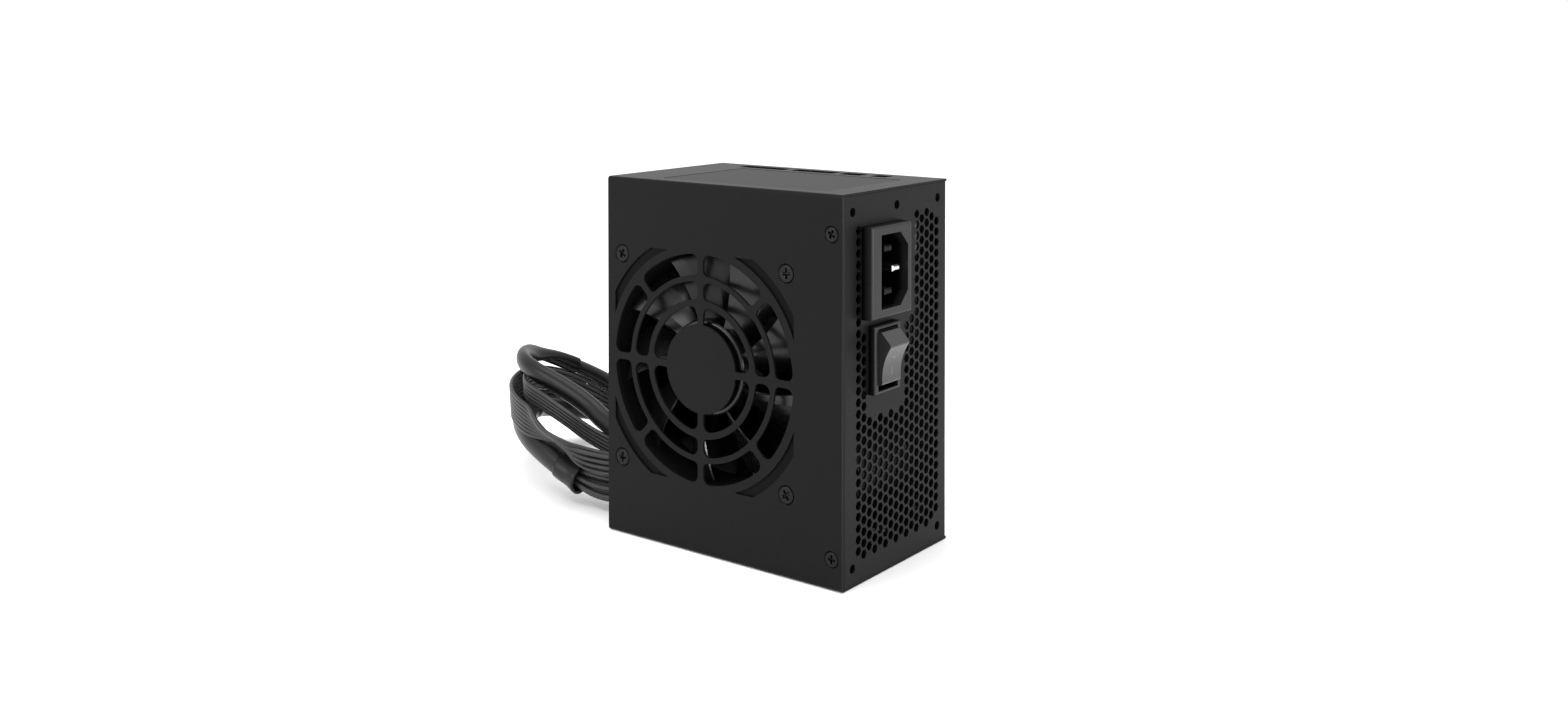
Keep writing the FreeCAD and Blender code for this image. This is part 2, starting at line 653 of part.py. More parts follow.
def make_switch_rocker():
    """The rocker lies level in its own profile and is tilted about its pivot, with its upper half raised."""
    def at(u, v):
        return V(X_MAINS + v, SWITCH_Y - half_w, SWITCH_Z + u)

    half_w = SWITCH_WELL_W / 2 - ROCKER_SIDE_GAP
    u, v = ROCKER_CREST_U, ROCKER_CREST_V
    edges = [
        Part.Arc(at(u, v), at(0, ROCKER_MIDDLE_V), at(-u, v)).toShape(),
        Part.makeLine(at(-u, v), at(-ROCKER_HALF_H, ROCKER_END_V)),
        Part.makeLine(at(-ROCKER_HALF_H, ROCKER_END_V), at(-ROCKER_HALF_H + 0.4, ROCKER_UNDER_V)),
        Part.makeLine(at(-ROCKER_HALF_H + 0.4, ROCKER_UNDER_V), at(ROCKER_HALF_H - 0.4, ROCKER_UNDER_V)),
        Part.makeLine(at(ROCKER_HALF_H - 0.4, ROCKER_UNDER_V), at(ROCKER_HALF_H, ROCKER_END_V)),
        Part.makeLine(at(ROCKER_HALF_H, ROCKER_END_V), at(u, v)),
    ]
    body = Part.Face(Part.Wire(edges)).extrude(V(0, 2 * half_w, 0))
    crests = [e for e in body.Edges if runs_along(e, Y_AXIS) and e.CenterOfMass.x > X_MAINS + v - 0.01]
    body = body.makeFillet(1.0, crests)
    reach = SWITCH_WELL_W / 2 + ROCKER_AXLE_LONG
    axle = rod(ROCKER_AXLE_R, (PIVOT_X, SWITCH_Y - reach, SWITCH_Z), (PIVOT_X, SWITCH_Y + reach, SWITCH_Z))
    body = one_solid(body.fuse(axle))
    body.rotate(V(PIVOT_X, 0, SWITCH_Z), Y_AXIS, ROCKER_TILT)
    return body


# ---------------------------------------------------------------- fan
def make_fan_frame():
    half = FAN_SIZE / 2
    y0, y1 = IN_FAN, FAN_BACK_Y
    frame = block(FAN_X - half, FAN_X + half, y0, y1, FAN_Z - half, FAN_Z + half)
    frame = rounded(frame, 3.0, lambda e: runs_along(e, Y_AXIS))
    waist = block(FAN_X - half - 1, FAN_X + half + 1, y0 + 3.5, y1 - 3.5, FAN_Z - half - 1, FAN_Z + half + 1)
    waist = waist.cut(rod(half, (FAN_X, y0, FAN_Z), (FAN_X, y1, FAN_Z)))
    cutters = [waist, rod(FAN_BORE_R, (FAN_X, y0 - 1, FAN_Z), (FAN_X, y1 + 1, FAN_Z))]
    cutters += [rod(FAN_SCREW_R, (x, y0 - 1, z), (x, y1 + 1, z)) for x, z in FAN_SCREWS]
    frame = frame.cut(Part.makeCompound(cutters))
    parts = [rod(FAN_HUB_R - 1.8, (FAN_X, y1 - 1.6, FAN_Z), (FAN_X, y1, FAN_Z))]
    for angle in (20, 110, 200, 290):
        strut = block(FAN_X + 5, FAN_X + FAN_BORE_R + 0.4, y1 - 1.6, y1, FAN_Z - 1.6, FAN_Z + 1.6)
        strut.rotate(V(FAN_X, 0, FAN_Z), Y_AXIS, angle)
        parts.append(strut)
    parts.append(rod(FAN_TUBE_R, (FAN_X, y1 - 10.0, FAN_Z), (FAN_X, y1, FAN_Z)))
    frame = one_solid(frame.multiFuse(parts))
    return one_solid(frame.cut(rod(FAN_BEARING_R, (FAN_X, y1 - 10.5, FAN_Z), (FAN_X, y1 - 0.6, FAN_Z))))


def make_fan_bearing():
    y0, y1 = FAN_BACK_Y - 10.0, FAN_BACK_Y - 0.6
    sleeve = rod(FAN_BEARING_R, (FAN_X, y0, FAN_Z), (FAN_X, y1, FAN_Z))
    return sleeve.cut(rod(FAN_SHAFT_R + FAN_SHAFT_GAP, (FAN_X, y0 - 1, FAN_Z), (FAN_X, y1 + 1, FAN_Z)))


def make_fan_shaft():
    return rod(FAN_SHAFT_R, (FAN_X, hub_face_y() + FAN_HUB_T, FAN_Z), (FAN_X, FAN_BACK_Y - 1.0, FAN_Z))


def make_fan_stator():
    y0 = hub_face_y() + FAN_HUB_T + 1.2
    core = rod(FAN_HUB_R - 3.4, (FAN_X, y0, FAN_Z), (FAN_X, FAN_BACK_Y - 1.6, FAN_Z))
    core = core.cut(rod(FAN_TUBE_R, (FAN_X, y0 - 1, FAN_Z), (FAN_X, FAN_BACK_Y, FAN_Z)))
    slots = []
    for k in range(4):
        x0, x1 = FAN_X + FAN_TUBE_R + 1.5, FAN_X + FAN_HUB_R
        slot = block(x0, x1, y0 - 1, FAN_BACK_Y - 2.2, FAN_Z - 1.0, FAN_Z + 1.0)
        slot.rotate(V(FAN_X, 0, FAN_Z), Y_AXIS, 45 + 90 * k)
        slots.append(slot)
    return one_solid(core.cut(Part.makeCompound(slots)))


def hub_face_y():
    return Y_FAN + FAN_HUB_SET_BACK


def blade_section(radius, lead):
    """One cross-section of a blade, on the plane that touches its cylinder halfway along the chord."""
    chord = math.radians(FAN_BLADE_CHORD)
    middle = math.radians(lead) - chord / 2
    y_front = hub_face_y() + 0.7
    y_rear = FAN_BACK_Y - 3.2
    count = 5
    line = []
    for k in range(count):
        share = k / (count - 1)
        curve = 0.8 * share + 0.2 * share ** 2
        line.append((radius * chord * (0.5 - share), y_front + (y_rear - y_front) * curve))
    slope = math.hypot(radius * chord, y_rear - y_front)
    normal = ((y_rear - y_front) / slope, radius * chord / slope)
    ring = []
    for side, row in ((0.5, line), (-0.5, line[::-1])):
        for u, y in row:
            taper = FAN_BLADE_T * side * (0.55 if (u, y) in (line[0], line[-1]) else 1.0)
            u_off, y_off = u + normal[0] * taper, y + normal[1] * taper
            x = FAN_X + radius * math.cos(middle) - u_off * math.sin(middle)
            z = FAN_Z + radius * math.sin(middle) + u_off * math.cos(middle)
            ring.append((x, y_off, z))
    return polygon_wire(ring)


def make_fan_rotor():
    y0 = hub_face_y()
    y1 = FAN_BACK_Y - 2.4
    hub = rod(FAN_HUB_R, (FAN_X, y0, FAN_Z), (FAN_X, y1, FAN_Z))
    hub = rounded(hub, 1.2, lambda e: e.CenterOfMass.y < y0 + 1e-6 and len(e.Vertexes) == 1)
    hub = hub.cut(rod(FAN_HUB_R - 2.0, (FAN_X, y0 + FAN_HUB_T, FAN_Z), (FAN_X, y1 + 1, FAN_Z)))
    tip = FAN_BORE_R - FAN_TIP_GAP
    span = tip - FAN_HUB_R
    limit = rod(tip, (FAN_X, y0, FAN_Z), (FAN_X, y1, FAN_Z))
    wires = []
    for radius in (FAN_HUB_R - 1.2, FAN_HUB_R + span * 0.5, tip + 1.5):
        lead_angle = FAN_BLADE_PHASE + FAN_BLADE_SWEEP * (radius - FAN_HUB_R) / span
        wires.append(blade_section(radius, lead_angle))
    blade = Part.makeLoft(wires, True, False).common(limit)
    rotor = hub
    for k in range(FAN_BLADES):
        copy = blade.copy()
        copy.rotate(V(FAN_X, 0, FAN_Z), Y_AXIS, 360 * k / FAN_BLADES)
        rotor = rotor.fuse(copy)
    return rotor.Solids[0]


def make_fan_screws():
    return [flush_screw(x, z, SCREW_HEAD_R, FAN_SCREW_R, FAN_SCREW_LONG) for x, z in FAN_SCREWS]


# ---------------------------------------------------------------- circuit board
def board_screw_spots():
    x0, x1 = IN_CABLE + BOARD_MARGIN + BOARD_HOLE_IN, IN_MAINS - BOARD_MARGIN - BOARD_HOLE_IN
    z0, z1 = SHEET + BOARD_MARGIN + BOARD_HOLE_IN, HEIGHT - SHEET - BOARD_MARGIN - BOARD_HOLE_IN
    return [(x0 + BOARD_SCREW_SHIFT, z0), (x1, z0), (x0, z1), (x1, z1)]


def make_board():
    board = block(
        IN_CABLE + BOARD_MARGIN,
        IN_MAINS - BOARD_MARGIN,
        BOARD_Y,
        BOARD_Y + BOARD_T,
        SHEET + BOARD_MARGIN,
        HEIGHT - SHEET - BOARD_MARGIN,
    )
    holes = [rod(BOARD_SCREW_R, (x, BOARD_Y - 1, z), (x, BOARD_Y + 3, z)) for x, z in board_screw_spots()]
    return board.cut(Part.makeCompound(holes))


def make_insulation_film():
    film = block(
        IN_CABLE + 1,
        IN_MAINS - 1,
        IN_BACK - FILM_T,
        IN_BACK,
        SHEET + 2,
        HEIGHT - SHEET - 2,
    )
    holes = [rod(STANDOFF_R + 0.5, (x, IN_BACK - 2, z), (x, IN_BACK + 1, z)) for x, z in board_screw_spots()]
    return film.cut(Part.makeCompound(holes))


def make_standoffs():
    posts = []
    for x, z in board_screw_spots():
        post = rod(STANDOFF_R, (x, IN_BACK - STANDOFF_LONG, z), (x, IN_BACK, z))
        posts.append(post.cut(rod(BOARD_SCREW_R, (x, IN_BACK - STANDOFF_LONG - 1, z), (x, IN_BACK - 0.8, z))))
    return posts


def make_board_screws():
    screws = []
    for x, z in board_screw_spots():
        head = rod(BOARD_SCREW_R * 1.9, (x, BOARD_Y - 1.6, z), (x, BOARD_Y, z))
        head = rounded(head, 0.6, lambda e: e.CenterOfMass.y < BOARD_Y - 1.5 and len(e.Vertexes) == 1)
        shank = rod(BOARD_SCREW_R, (x, BOARD_Y - 0.1, z), (x, BOARD_Y + BOARD_T + 2.5, z))
        screws.append(one_solid(head.fuse(shank)))
    return screws


def standing(size, x, z, edge=0.6):
    """A block standing on the board: size is (along X, along Z, high)."""
    along_x, along_z, high = size
    shape = block(x - along_x / 2, x + along_x / 2, BOARD_Y - high, BOARD_Y, z - along_z / 2, z + along_z / 2)
    return rounded(shape, edge, lambda e: runs_along(e, Y_AXIS)) if edge else shape


def is_top_circle(edge, y):
    """A whole circle on the plane at y, where a round piece ends."""
    return edge.CenterOfMass.y < y + 0.01 and len(edge.Vertexes) == 1


def can(r, long, x, z):
    """An upright electrolytic capacitor with its crimped groove."""
    shape = rod(r, (x, BOARD_Y - long, z), (x, BOARD_Y, z))
    shape = rounded(shape, min(0.8, r / 5), lambda e: is_top_circle(e, BOARD_Y - long))
    groove = Part.makeTorus(r + 0.25, 0.7, V(x, BOARD_Y - 2.6, z), Y_AXIS)
    return shape.cut(groove)


def toroid(r, hole_r, high, x, z):
    top, foot = (x, BOARD_Y - high, z), (x, BOARD_Y, z)
    shape = rod(r, top, foot).cut(rod(hole_r, top, foot))
    return rounded(shape, min(2.0, high / 4), lambda e: is_top_circle(e, BOARD_Y - high))


def transformer(size, x, z):
    """A ferrite core round a wound bobbin, as one piece."""
    along_x, along_z, high = size
    core = standing((along_x, along_z * 0.6, high), x, z, 0.8)
    winding = standing((along_x * 0.8, along_z, high * 0.66), x, z, 2.0)
    foot = standing((along_x * 0.95, along_z, high * 0.16), x, z, 0.5)
    return one_solid(core.multiFuse([winding, foot]))


def cooling_plate(x, z, side):
    """An upright aluminium plate with short fins on one side, side giving which way they point along X."""
    plate = standing((PLATE_T, PLATE_LONG, PLATE_HIGH), x, z, 0)
    fins = []
    count = 8
    for k in range(count):
        fz = z - PLATE_LONG / 2 + PLATE_LONG * (k + 0.5) / count
        x0, x1 = sorted((x, x + side * (PLATE_T / 2 + FIN_LONG)))
        y0, y1 = BOARD_Y - PLATE_HIGH, BOARD_Y - PLATE_HIGH * 0.55
        fins.append(block(x0, x1, y0, y1, fz - FIN_T / 2, fz + FIN_T / 2))
    return one_solid(plate.multiFuse(fins))


def power_devices(x, z, count, side):
    """Transistor packages standing on the board against the bare side of a cooling plate."""
    thick, wide, tall = DEVICE
    cx = x - side * (PLATE_T / 2 + thick / 2)
    first = z - DEVICE_PITCH * (count - 1) / 2
    return [standing((thick, wide, tall), cx, first + DEVICE_PITCH * k, 0.4) for k in range(count)]


def lead(r, x, z, y):
    """A wire from a terminal at y straight down to the board."""
    return rod(r, (x, y, z), (x, BOARD_Y, z))


def mains_side(place):
    """Where a primary-side piece stands on the board: these follow the mains wall and the switch."""
    in_from_wall, above_switch = place
    return X_MAINS - in_from_wall, SWITCH_Z + above_switch


def make_fan_lead():
    """The fan's lead, straight from its frame to the top of its connector, trimmed flush with both."""
    x, z = mains_side(CONNECTOR_AT)
    y0, y1 = FAN_BACK_Y, BOARD_Y - CONNECTOR[2]
    start = V(FAN_X + FAN_SIZE / 2 - FAN_LEAD_IN[0], y0, FAN_Z + FAN_SIZE / 2 - FAN_LEAD_IN[1])
    end = V(x, y1, z)
    overshoot = (end - start) * 0.1
    wire = rod(FAN_LEAD_R, start - overshoot, end + overshoot)
    return wire.common(block(X_CABLE, X_MAINS, y0, y1, 0, HEIGHT))


# ---------------------------------------------------------------- cable outlet
def make_cable_bushing():
    inner_w, inner_h = OUTLET_W - 2 * BUSHING_WALL, OUTLET_H - 2 * BUSHING_WALL
    x_out, x_in = X_CABLE - BUSHING_PROUD, IN_CABLE + BUSHING_INNER
    lip = BUSHING_LIP * 2
    rim = slot_block(OUTLET_W + lip, OUTLET_H + lip - 1, OUTLET_ROUND + 1, x_out, X_CABLE, OUTLET_Y, OUTLET_Z)
    rim = rounded(rim, 0.6, lambda e: e.CenterOfMass.x < x_out + 1e-6)
    neck = slot_block(OUTLET_W, OUTLET_H, OUTLET_ROUND, X_CABLE, IN_CABLE, OUTLET_Y, OUTLET_Z)
    w, h = OUTLET_W + lip, OUTLET_H + lip - 1
    flange = slot_block(w, h, OUTLET_ROUND + 1, IN_CABLE, x_in, OUTLET_Y, OUTLET_Z)
    bore = slot_block(inner_w, inner_h, OUTLET_ROUND - BUSHING_WALL, x_out - 1, x_in + 1, OUTLET_Y, OUTLET_Z)
    return one_solid(rim.multiFuse([neck, flange]).cut(bore))


def make_output_bundle():
    """The output wires inside, gathered from the board to a tie plate in the mouth of the bushing."""
    w, h = OUTLET_W - 2 * BUSHING_WALL - 0.6, OUTLET_H - 2 * BUSHING_WALL - 0.6
    plate = slot_block(w, h, OUTLET_ROUND - BUSHING_WALL - 0.3, CORD_START_X, BUNDLE_X0, OUTLET_Y, OUTLET_Z)
    y0 = FAN_BACK_Y + 0.6
    y1 = OUTLET_Y + w / 2
    z0, z1 = OUTLET_Z - h / 2 + 2.5, OUTLET_Z + h / 2 - 2.5
    run_in = block(BUNDLE_X0 - 0.2, BUNDLE_X1, y0, y1, z0, z1)
    run_down = block(IN_CABLE + BOARD_MARGIN + 0.5, BUNDLE_X1, y0, BOARD_Y, z0, z1)
    return one_solid(plate.multiFuse([run_in, run_down]))


# ---------------------------------------------------------------- cables and plugs
def cable(name):
    """A plain tube along straight runs joined by tangent arcs, its ends trimmed flush with what they meet.

    Prints its length between those faces, its volume over its section times its length, and its bend radii.
    """
    radius, corners = CABLES[name]
    points = [V(*p) for p in corners]
    runs = [(b - a).Length for a, b in zip(points[:-1], points[1:])]
    points[0] += (points[0] - points[1]).normalize() * CORD_OVERSHOOT
    points[-1] += (points[-1] - points[-2]).normalize() * CORD_OVERSHOOT
    edges = []
    last = points[0]
    bends = []
    for k in range(1, len(points) - 1):
        back = (points[k - 1] - points[k]).normalize()
        ahead = (points[k + 1] - points[k]).normalize()
        turn = math.pi - back.getAngle(ahead)
        trim = 0.45 * min(runs[k - 1], runs[k])
        bend = trim / math.tan(turn / 2)
        bends.append(round(bend, 1))
        start = points[k] + back * trim
        end = points[k] + ahead * trim
        inward = (back + ahead).normalize()
        centre = points[k] + inward * (bend / math.cos(turn / 2))
        middle = centre - inward * bend
        edges.append(Part.LineSegment(last, start).toShape())
        edges.append(Part.Arc(start, middle, end).toShape())
        last = end
    edges.append(Part.LineSegment(last, points[-1]).toShape())
    path = Part.Wire(edges)
    profile = Part.Wire(Part.makeCircle(radius, points[0], points[1] - points[0]))
    tube = path.makePipeShell([profile], True, True)
    solid = tube if tube.ShapeType == "Solid" else Part.Solid(tube.Shells[0])
    share = solid.Volume / (math.pi * radius ** 2 * path.Length)
    length = path.Length - 2 * CORD_OVERSHOOT
    print(f"{name}: length {length:.1f}, volume share {share:.3f}, bend radii {bends}")
    end = cable_end(name)
    reach = 2 * radius
    beyond = CORD_OVERSHOOT + radius
    behind_wall = block(CORD_START_X, CORD_START_X + beyond, Y_FAN, Y_BACK, 0, HEIGHT)
    in_plug = block(end.x, end.x + beyond, end.y - reach, end.y + reach, end.z - reach, end.z + reach)
    return solid.cut(Part.makeCompound([behind_wall, in_plug])).Solids[0]


def cable_end(name):
    return V(*CABLES[name][1][-1])


def contact_grid(x0, deep, y, z, across, up):
    """Square contact cavities in the face of a plug."""
    cavities = []
    for i in range(across):
        for k in range(up):
            cy = y + CONTACT_PITCH * (i - (across - 1) / 2)
            cz = z + CONTACT_PITCH * (k - (up - 1) / 2)
            half = CONTACT / 2
            cavities.append(block(x0 - deep, x0 + 1, cy - half, cy + half, cz - half, cz + half))
    return Part.makeCompound(cavities)


def plug_latch(x, y, top):
    """The latch on top of a plug that starts at x."""
    long, across, high = LATCH
    return block(x + LATCH_IN, x + LATCH_IN + long, y - across / 2, y + across / 2, top, top + high)


def make_power_plug(name, y):
    """An eight-contact plug lying flat, centred on y, with its latch on top."""
    end = cable_end(name)
    long, across, tall = POWER_PLUG
    z0 = CORD_FLOOR
    body = block(end.x, end.x + long, y - across / 2, y + across / 2, z0, z0 + tall)
    body = rounded(body, 0.5, lambda e: runs_along(e, X_AXIS))
    body = body.cut(contact_grid(end.x + long, 9.0, y, z0 + tall / 2, 4, 2))
    return one_solid(body.fuse(plug_latch(end.x, y, z0 + tall)))


def make_drive_plug(name):
    end = cable_end(name)
    long, across, tall = DRIVE_PLUG
    z0 = CORD_FLOOR
    body = block(end.x, end.x + long, end.y - across / 2, end.y + across / 2, z0, z0 + tall)
    body = rounded(body, 0.5, lambda e: runs_along(e, X_AXIS))
    slot = block(end.x + long - 6, end.x + long + 1, end.y - 1.1, end.y + 1.1, z0 + 1.6, z0 + tall - 1.6)
    return body.cut(slot)


def make_main_plug(name):
    end = cable_end(name)
    long, across, tall = MAIN_PLUG
    y = MAIN_PLUG_Y
    body = block(end.x, end.x + long, y - across / 2, y + across / 2, MAIN_PLUG_Z, MAIN_PLUG_Z + tall)
    body = rounded(body, 0.5, lambda e: runs_along(e, X_AXIS))
    body = body.cut(contact_grid(end.x + long, 9.0, y, MAIN_PLUG_Z + tall * 0.42, 12, 2))
    return one_solid(body.fuse(plug_latch(end.x, y, MAIN_PLUG_Z + tall)))


# ---------------------------------------------------------------- everything
def main():
    os.makedirs("parts", exist_ok=True)
    save("chassis_tray", make_chassis_tray())
    save("fan_cover", make_fan_cover())
    save("side_label", make_side_label())
    save("cover_screws", *make_cover_screws())
    save("insulation_film", make_insulation_film())

    save("inlet_body", make_inlet_body())
    line_a, line_b, earth = [make_inlet_pin(y, z) for y, z in inlet_pin_spots()]
    save("inlet_line_pins", line_a, line_b)
    save("inlet_earth_pin", earth)
    tab_x = X_MAINS - INLET_BODY_DEEP - TAB_LONG * 0.6
    leads = [lead(LEAD_R, tab_x, z, y + TAB_W / 2) for y, z in inlet_pin_spots()]
    save("inlet_leads", *leads)
    save("switch_body", make_switch_body())
    save("switch_rocker", make_switch_rocker())
    save("switch_terminals", *make_switch_terminals())
    tab_x = X_MAINS - SWITCH_BODY_DEEP - SWITCH_TAB_LONG * 0.6
    leads = [lead(LEAD_R, tab_x, z, y + SWITCH_TAB_W / 2) for y, z in switch_tab_spots()]
    save("switch_leads", *leads)

    save("fan_frame", make_fan_frame())
    save("fan_rotor", make_fan_rotor())
    save("fan_shaft", make_fan_shaft())
    save("fan_bearing", make_fan_bearing())
    save("fan_stator", make_fan_stator())
    save("fan_screws", *make_fan_screws())
    save("fan_lead", make_fan_lead())
    save("fan_connector", standing(CONNECTOR, *mains_side(CONNECTOR_AT), 0.4))

    save("main_board", make_board())
    save("standoffs", *make_standoffs())
    save("board_screws", *make_board_screws())
    save("bulk_capacitor", can(BULK_CAP_R, BULK_CAP_LONG, *mains_side(BULK_CAP_AT)))
    x, first_z = X_CABLE + OUT_CAP_IN, OUTLET_LOW + OUTLET_H + OUT_CAP_GAP
    caps = [can(OUT_CAP_R, OUT_CAP_LONG, x, first_z + OUT_CAP_PITCH * k) for k in range(OUT_CAPS)]
    save("output_capacitors", *caps)
    save("main_transformer", transformer(CORE, CORE_X, CORE_Z))
    save("standby_transformer", transformer(STANDBY_CORE, CORE_X, STANDBY_Z))
    save("pfc_choke", toroid(CHOKE_R, CHOKE_HOLE_R, CHOKE_T, *mains_side(PFC_CHOKE_AT)))
    save("common_mode_choke", toroid(CHOKE_R, CHOKE_HOLE_R, CHOKE_T, *mains_side(LINE_CHOKE_AT)))
    save("output_choke", toroid(CHOKE_R, CHOKE_HOLE_R, CHOKE_T, X_CABLE + OUT_CHOKE_IN, OUT_CHOKE_Z))
    x, z = mains_side(PRIMARY_PLATE_AT)
    save("primary_heatsink", cooling_plate(x, z, -1))
    save("power_transistors", *power_devices(x, z + PRIMARY_DEVICES_UP, 2, -1))
    x, z = X_CABLE + SECONDARY_PLATE_IN, SECONDARY_PLATE_Z
    save("secondary_heatsink", cooling_plate(x, z, 1))
    save("output_rectifiers", *power_devices(x, z, 2, 1))
    save("bridge_rectifier", standing(BRIDGE, *mains_side(BRIDGE_AT)))
    save("filter_capacitor", standing(FILTER_CAP, *mains_side(FILTER_CAP_AT)))
    x, y = X_MAINS - FUSE_IN, BOARD_Y - FUSE_R
    save("fuse", rod(FUSE_R, (x, y, INLET_Z), (x, y, INLET_Z + FUSE_LONG)))
    save("control_board", standing(CONTROL_BOARD, X_CABLE + CONTROL_IN, CONTROL_Z, 0))

    save("cable_bushing", make_cable_bushing())
    save("output_bundle", make_output_bundle())
    for name in CABLES:
        save(name, cable(name))
    save("cpu_plug", make_power_plug("cpu_cable", CPU_PLUG_Y))
    save("drive_plug", make_drive_plug("drive_cable"))
    save("graphics_plug", make_power_plug("graphics_cable", GRAPHICS_PLUG_Y))
    save("main_plug", make_main_plug("main_cable"))


main()
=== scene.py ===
"""Small-form-factor computer power supply: its cables, screws, rocker marks, finishes, camera and stage."""

import math

import bmesh
import bpy
from bpy.props import FloatProperty, FloatVectorProperty, IntProperty, PointerProperty
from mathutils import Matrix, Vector


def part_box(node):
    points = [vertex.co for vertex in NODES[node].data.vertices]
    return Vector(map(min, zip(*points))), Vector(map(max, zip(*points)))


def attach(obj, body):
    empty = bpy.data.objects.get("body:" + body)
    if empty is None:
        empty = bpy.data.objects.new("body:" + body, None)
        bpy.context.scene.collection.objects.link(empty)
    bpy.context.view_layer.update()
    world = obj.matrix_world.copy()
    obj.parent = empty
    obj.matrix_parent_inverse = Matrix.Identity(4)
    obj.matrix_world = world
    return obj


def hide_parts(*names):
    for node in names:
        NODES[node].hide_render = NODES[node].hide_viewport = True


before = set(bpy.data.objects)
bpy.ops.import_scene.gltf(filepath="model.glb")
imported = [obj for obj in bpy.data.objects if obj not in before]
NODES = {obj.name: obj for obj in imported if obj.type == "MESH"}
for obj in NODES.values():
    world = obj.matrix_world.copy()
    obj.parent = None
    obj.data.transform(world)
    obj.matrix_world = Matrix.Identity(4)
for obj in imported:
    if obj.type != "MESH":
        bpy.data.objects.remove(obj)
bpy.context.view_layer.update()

bl_info = {
    "name": "Power supply unit",
    "version": (1, 0, 0),
    "blender": (4, 5, 0),
    "location": "View3D > Sidebar > Power supply",
    "description": "Builds the cables, screws, marks, finishes and stage of a small computer power supply",
    "category": "Object",
}

MM = 0.001

# The routes of the output cables, in millimetres: radius of the cable's solid, then the corners of its route.
ROUTES = {
    "main_cable": (
        5.4,
        (
            (-48.9, -14.6, 9.8),
            (-67.7, -15.4, 6.3),
            (-88.8, -17.3, 12.7),
            (-118.7, -11.3, 23.3),
            (-147.2, 26.6, 19.2),
            (-121.6, 71.5, 5.9),
            (-72.0, 72.2, 7.0),
            (-44.0, 71.4, 5.8),
            (-18.0, 69.5, 17.3),
        ),
    ),
    "cpu_cable": (
        4.5,
        (
            (-48.9, -18.8, 19.5),
            (-69.3, -21.3, 16.9),
            (-86.5, -24.3, 24.9),
            (-121.0, -17.1, 31.6),
            (-141.3, 19.3, 32.9),
            (-117.0, 61.0, 12.5),
            (-70.0, 61.5, 4.9),
            (-30.0, 60.8, 5.1),
            (6.0, 61.0, 4.9),
        ),
    ),
    "drive_cable": (
        3.25,
        (
            (-48.9, -10.2, 18.2),
            (-69.0, -13.5, 21.9),
            (-90.9, -19.0, 34.0),
            (-115.6, -15.1, 38.6),
            (-130.3, 18.9, 34.8),
            (-113.1, 50.8, 13.1),
            (-86.0, 52.2, 3.8),
            (-56.0, 52.2, 5.6),
            (-34.0, 52.0, 10.2),
        ),
    ),
    "graphics_cable": (
        4.0,
        (
            (-48.9, -14.5, 27.0),
            (-65.6, -13.0, 28.5),
            (-84.6, -9.5, 36.6),
            (-119.2, -12.6, 47.5),
            (-137.7, 18.4, 43.6),
            (-115.4, 47.6, 25.4),
            (-72.0, 44.0, 5.2),
            (-30.0, 43.2, 4.8),
            (6.0, 43.5, 4.4),
        ),
    ),
}


# ---------------------------------------------------------------- sizes and colours a user would change
LENGTH = {"subtype": "DISTANCE", "unit": "LENGTH"}
COLOR = {"subtype": "COLOR", "size": 3}


class PSU_CableSettings(bpy.types.PropertyGroup):
    wire_radius: FloatProperty(
        name="Wire radius", description="Radius of one insulated wire", default=0.95 * MM, **LENGTH
    )
    ribbon_pitch: FloatProperty(
        name="Ribbon pitch",
        description="Distance between neighbouring wires of the flat cable",
        default=1.62 * MM,
        **LENGTH,
    )
    ribbon_wires: IntProperty(
        name="Ribbon wires", description="Wires in the processor cable", default=8, min=4, max=10
    )
    drive_wires: IntProperty(
        name="Drive wires", description="Wires in the drive cable", default=5, min=3, max=6
    )
    wire_color: FloatVectorProperty(
        name="Wire colour", description="Insulation of the wires", default=(0.022, 0.022, 0.0225), **COLOR
    )
    sleeve_color: FloatVectorProperty(
        name="Sleeve colour", description="Shrink sleeve on the cables", default=(0.004, 0.004, 0.0043), **COLOR
    )


class PSU_FinishSettings(bpy.types.PropertyGroup):
    coat_color: FloatVectorProperty(
        name="Coat colour", description="Powder coat of the housing", default=(0.0034, 0.0034, 0.0036), **COLOR
    )
    coat_roughness: FloatProperty(
        name="Coat roughness", description="Roughness of the powder coat", default=0.42, min=0.0, max=1.0
    )
    plastic_color: FloatVectorProperty(
        name="Plastic colour", description="Inlet, switch and plugs", default=(0.007, 0.007, 0.0073), **COLOR
    )
    fan_color: FloatVectorProperty(
        name="Fan colour", description="Fan frame and rotor", default=(0.003, 0.003, 0.0031), **COLOR
    )


class PSU_FastenerSettings(bpy.types.PropertyGroup):
    head_radius: FloatProperty(
        name="Head radius", description="Fan screw head", default=2.95 * MM, **LENGTH
    )
    cover_head_radius: FloatProperty(
        name="Cover head radius", description="Cover screw head", default=2.5 * MM, **LENGTH
    )
    turns: FloatProperty(
        name="Recess turn", description="How far each cross recess is turned", default=0.5, subtype="ANGLE"
    )


# ---------------------------------------------------------------- making meshes
def mesh_object(name, verts, faces, material=None, smooth=True):
    """A new mesh object at the origin, its place in its vertices."""
    mesh = bpy.data.meshes.new(name)
    mesh.from_pydata([tuple(v) for v in verts], [], faces)
    mesh.validate()
    obj = bpy.data.objects.new(name, mesh)
    bpy.context.scene.collection.objects.link(obj)
    if material:
        mesh.materials.append(material)
    for polygon in mesh.polygons:
        polygon.use_smooth = smooth
    return obj


def recalculate_normals(obj):
    work = bmesh.new()
    work.from_mesh(obj.data)
    bmesh.ops.remove_doubles(work, verts=work.verts, dist=1e-7)
    bmesh.ops.recalc_face_normals(work, faces=work.faces)
    work.to_mesh(obj.data)
    work.free()


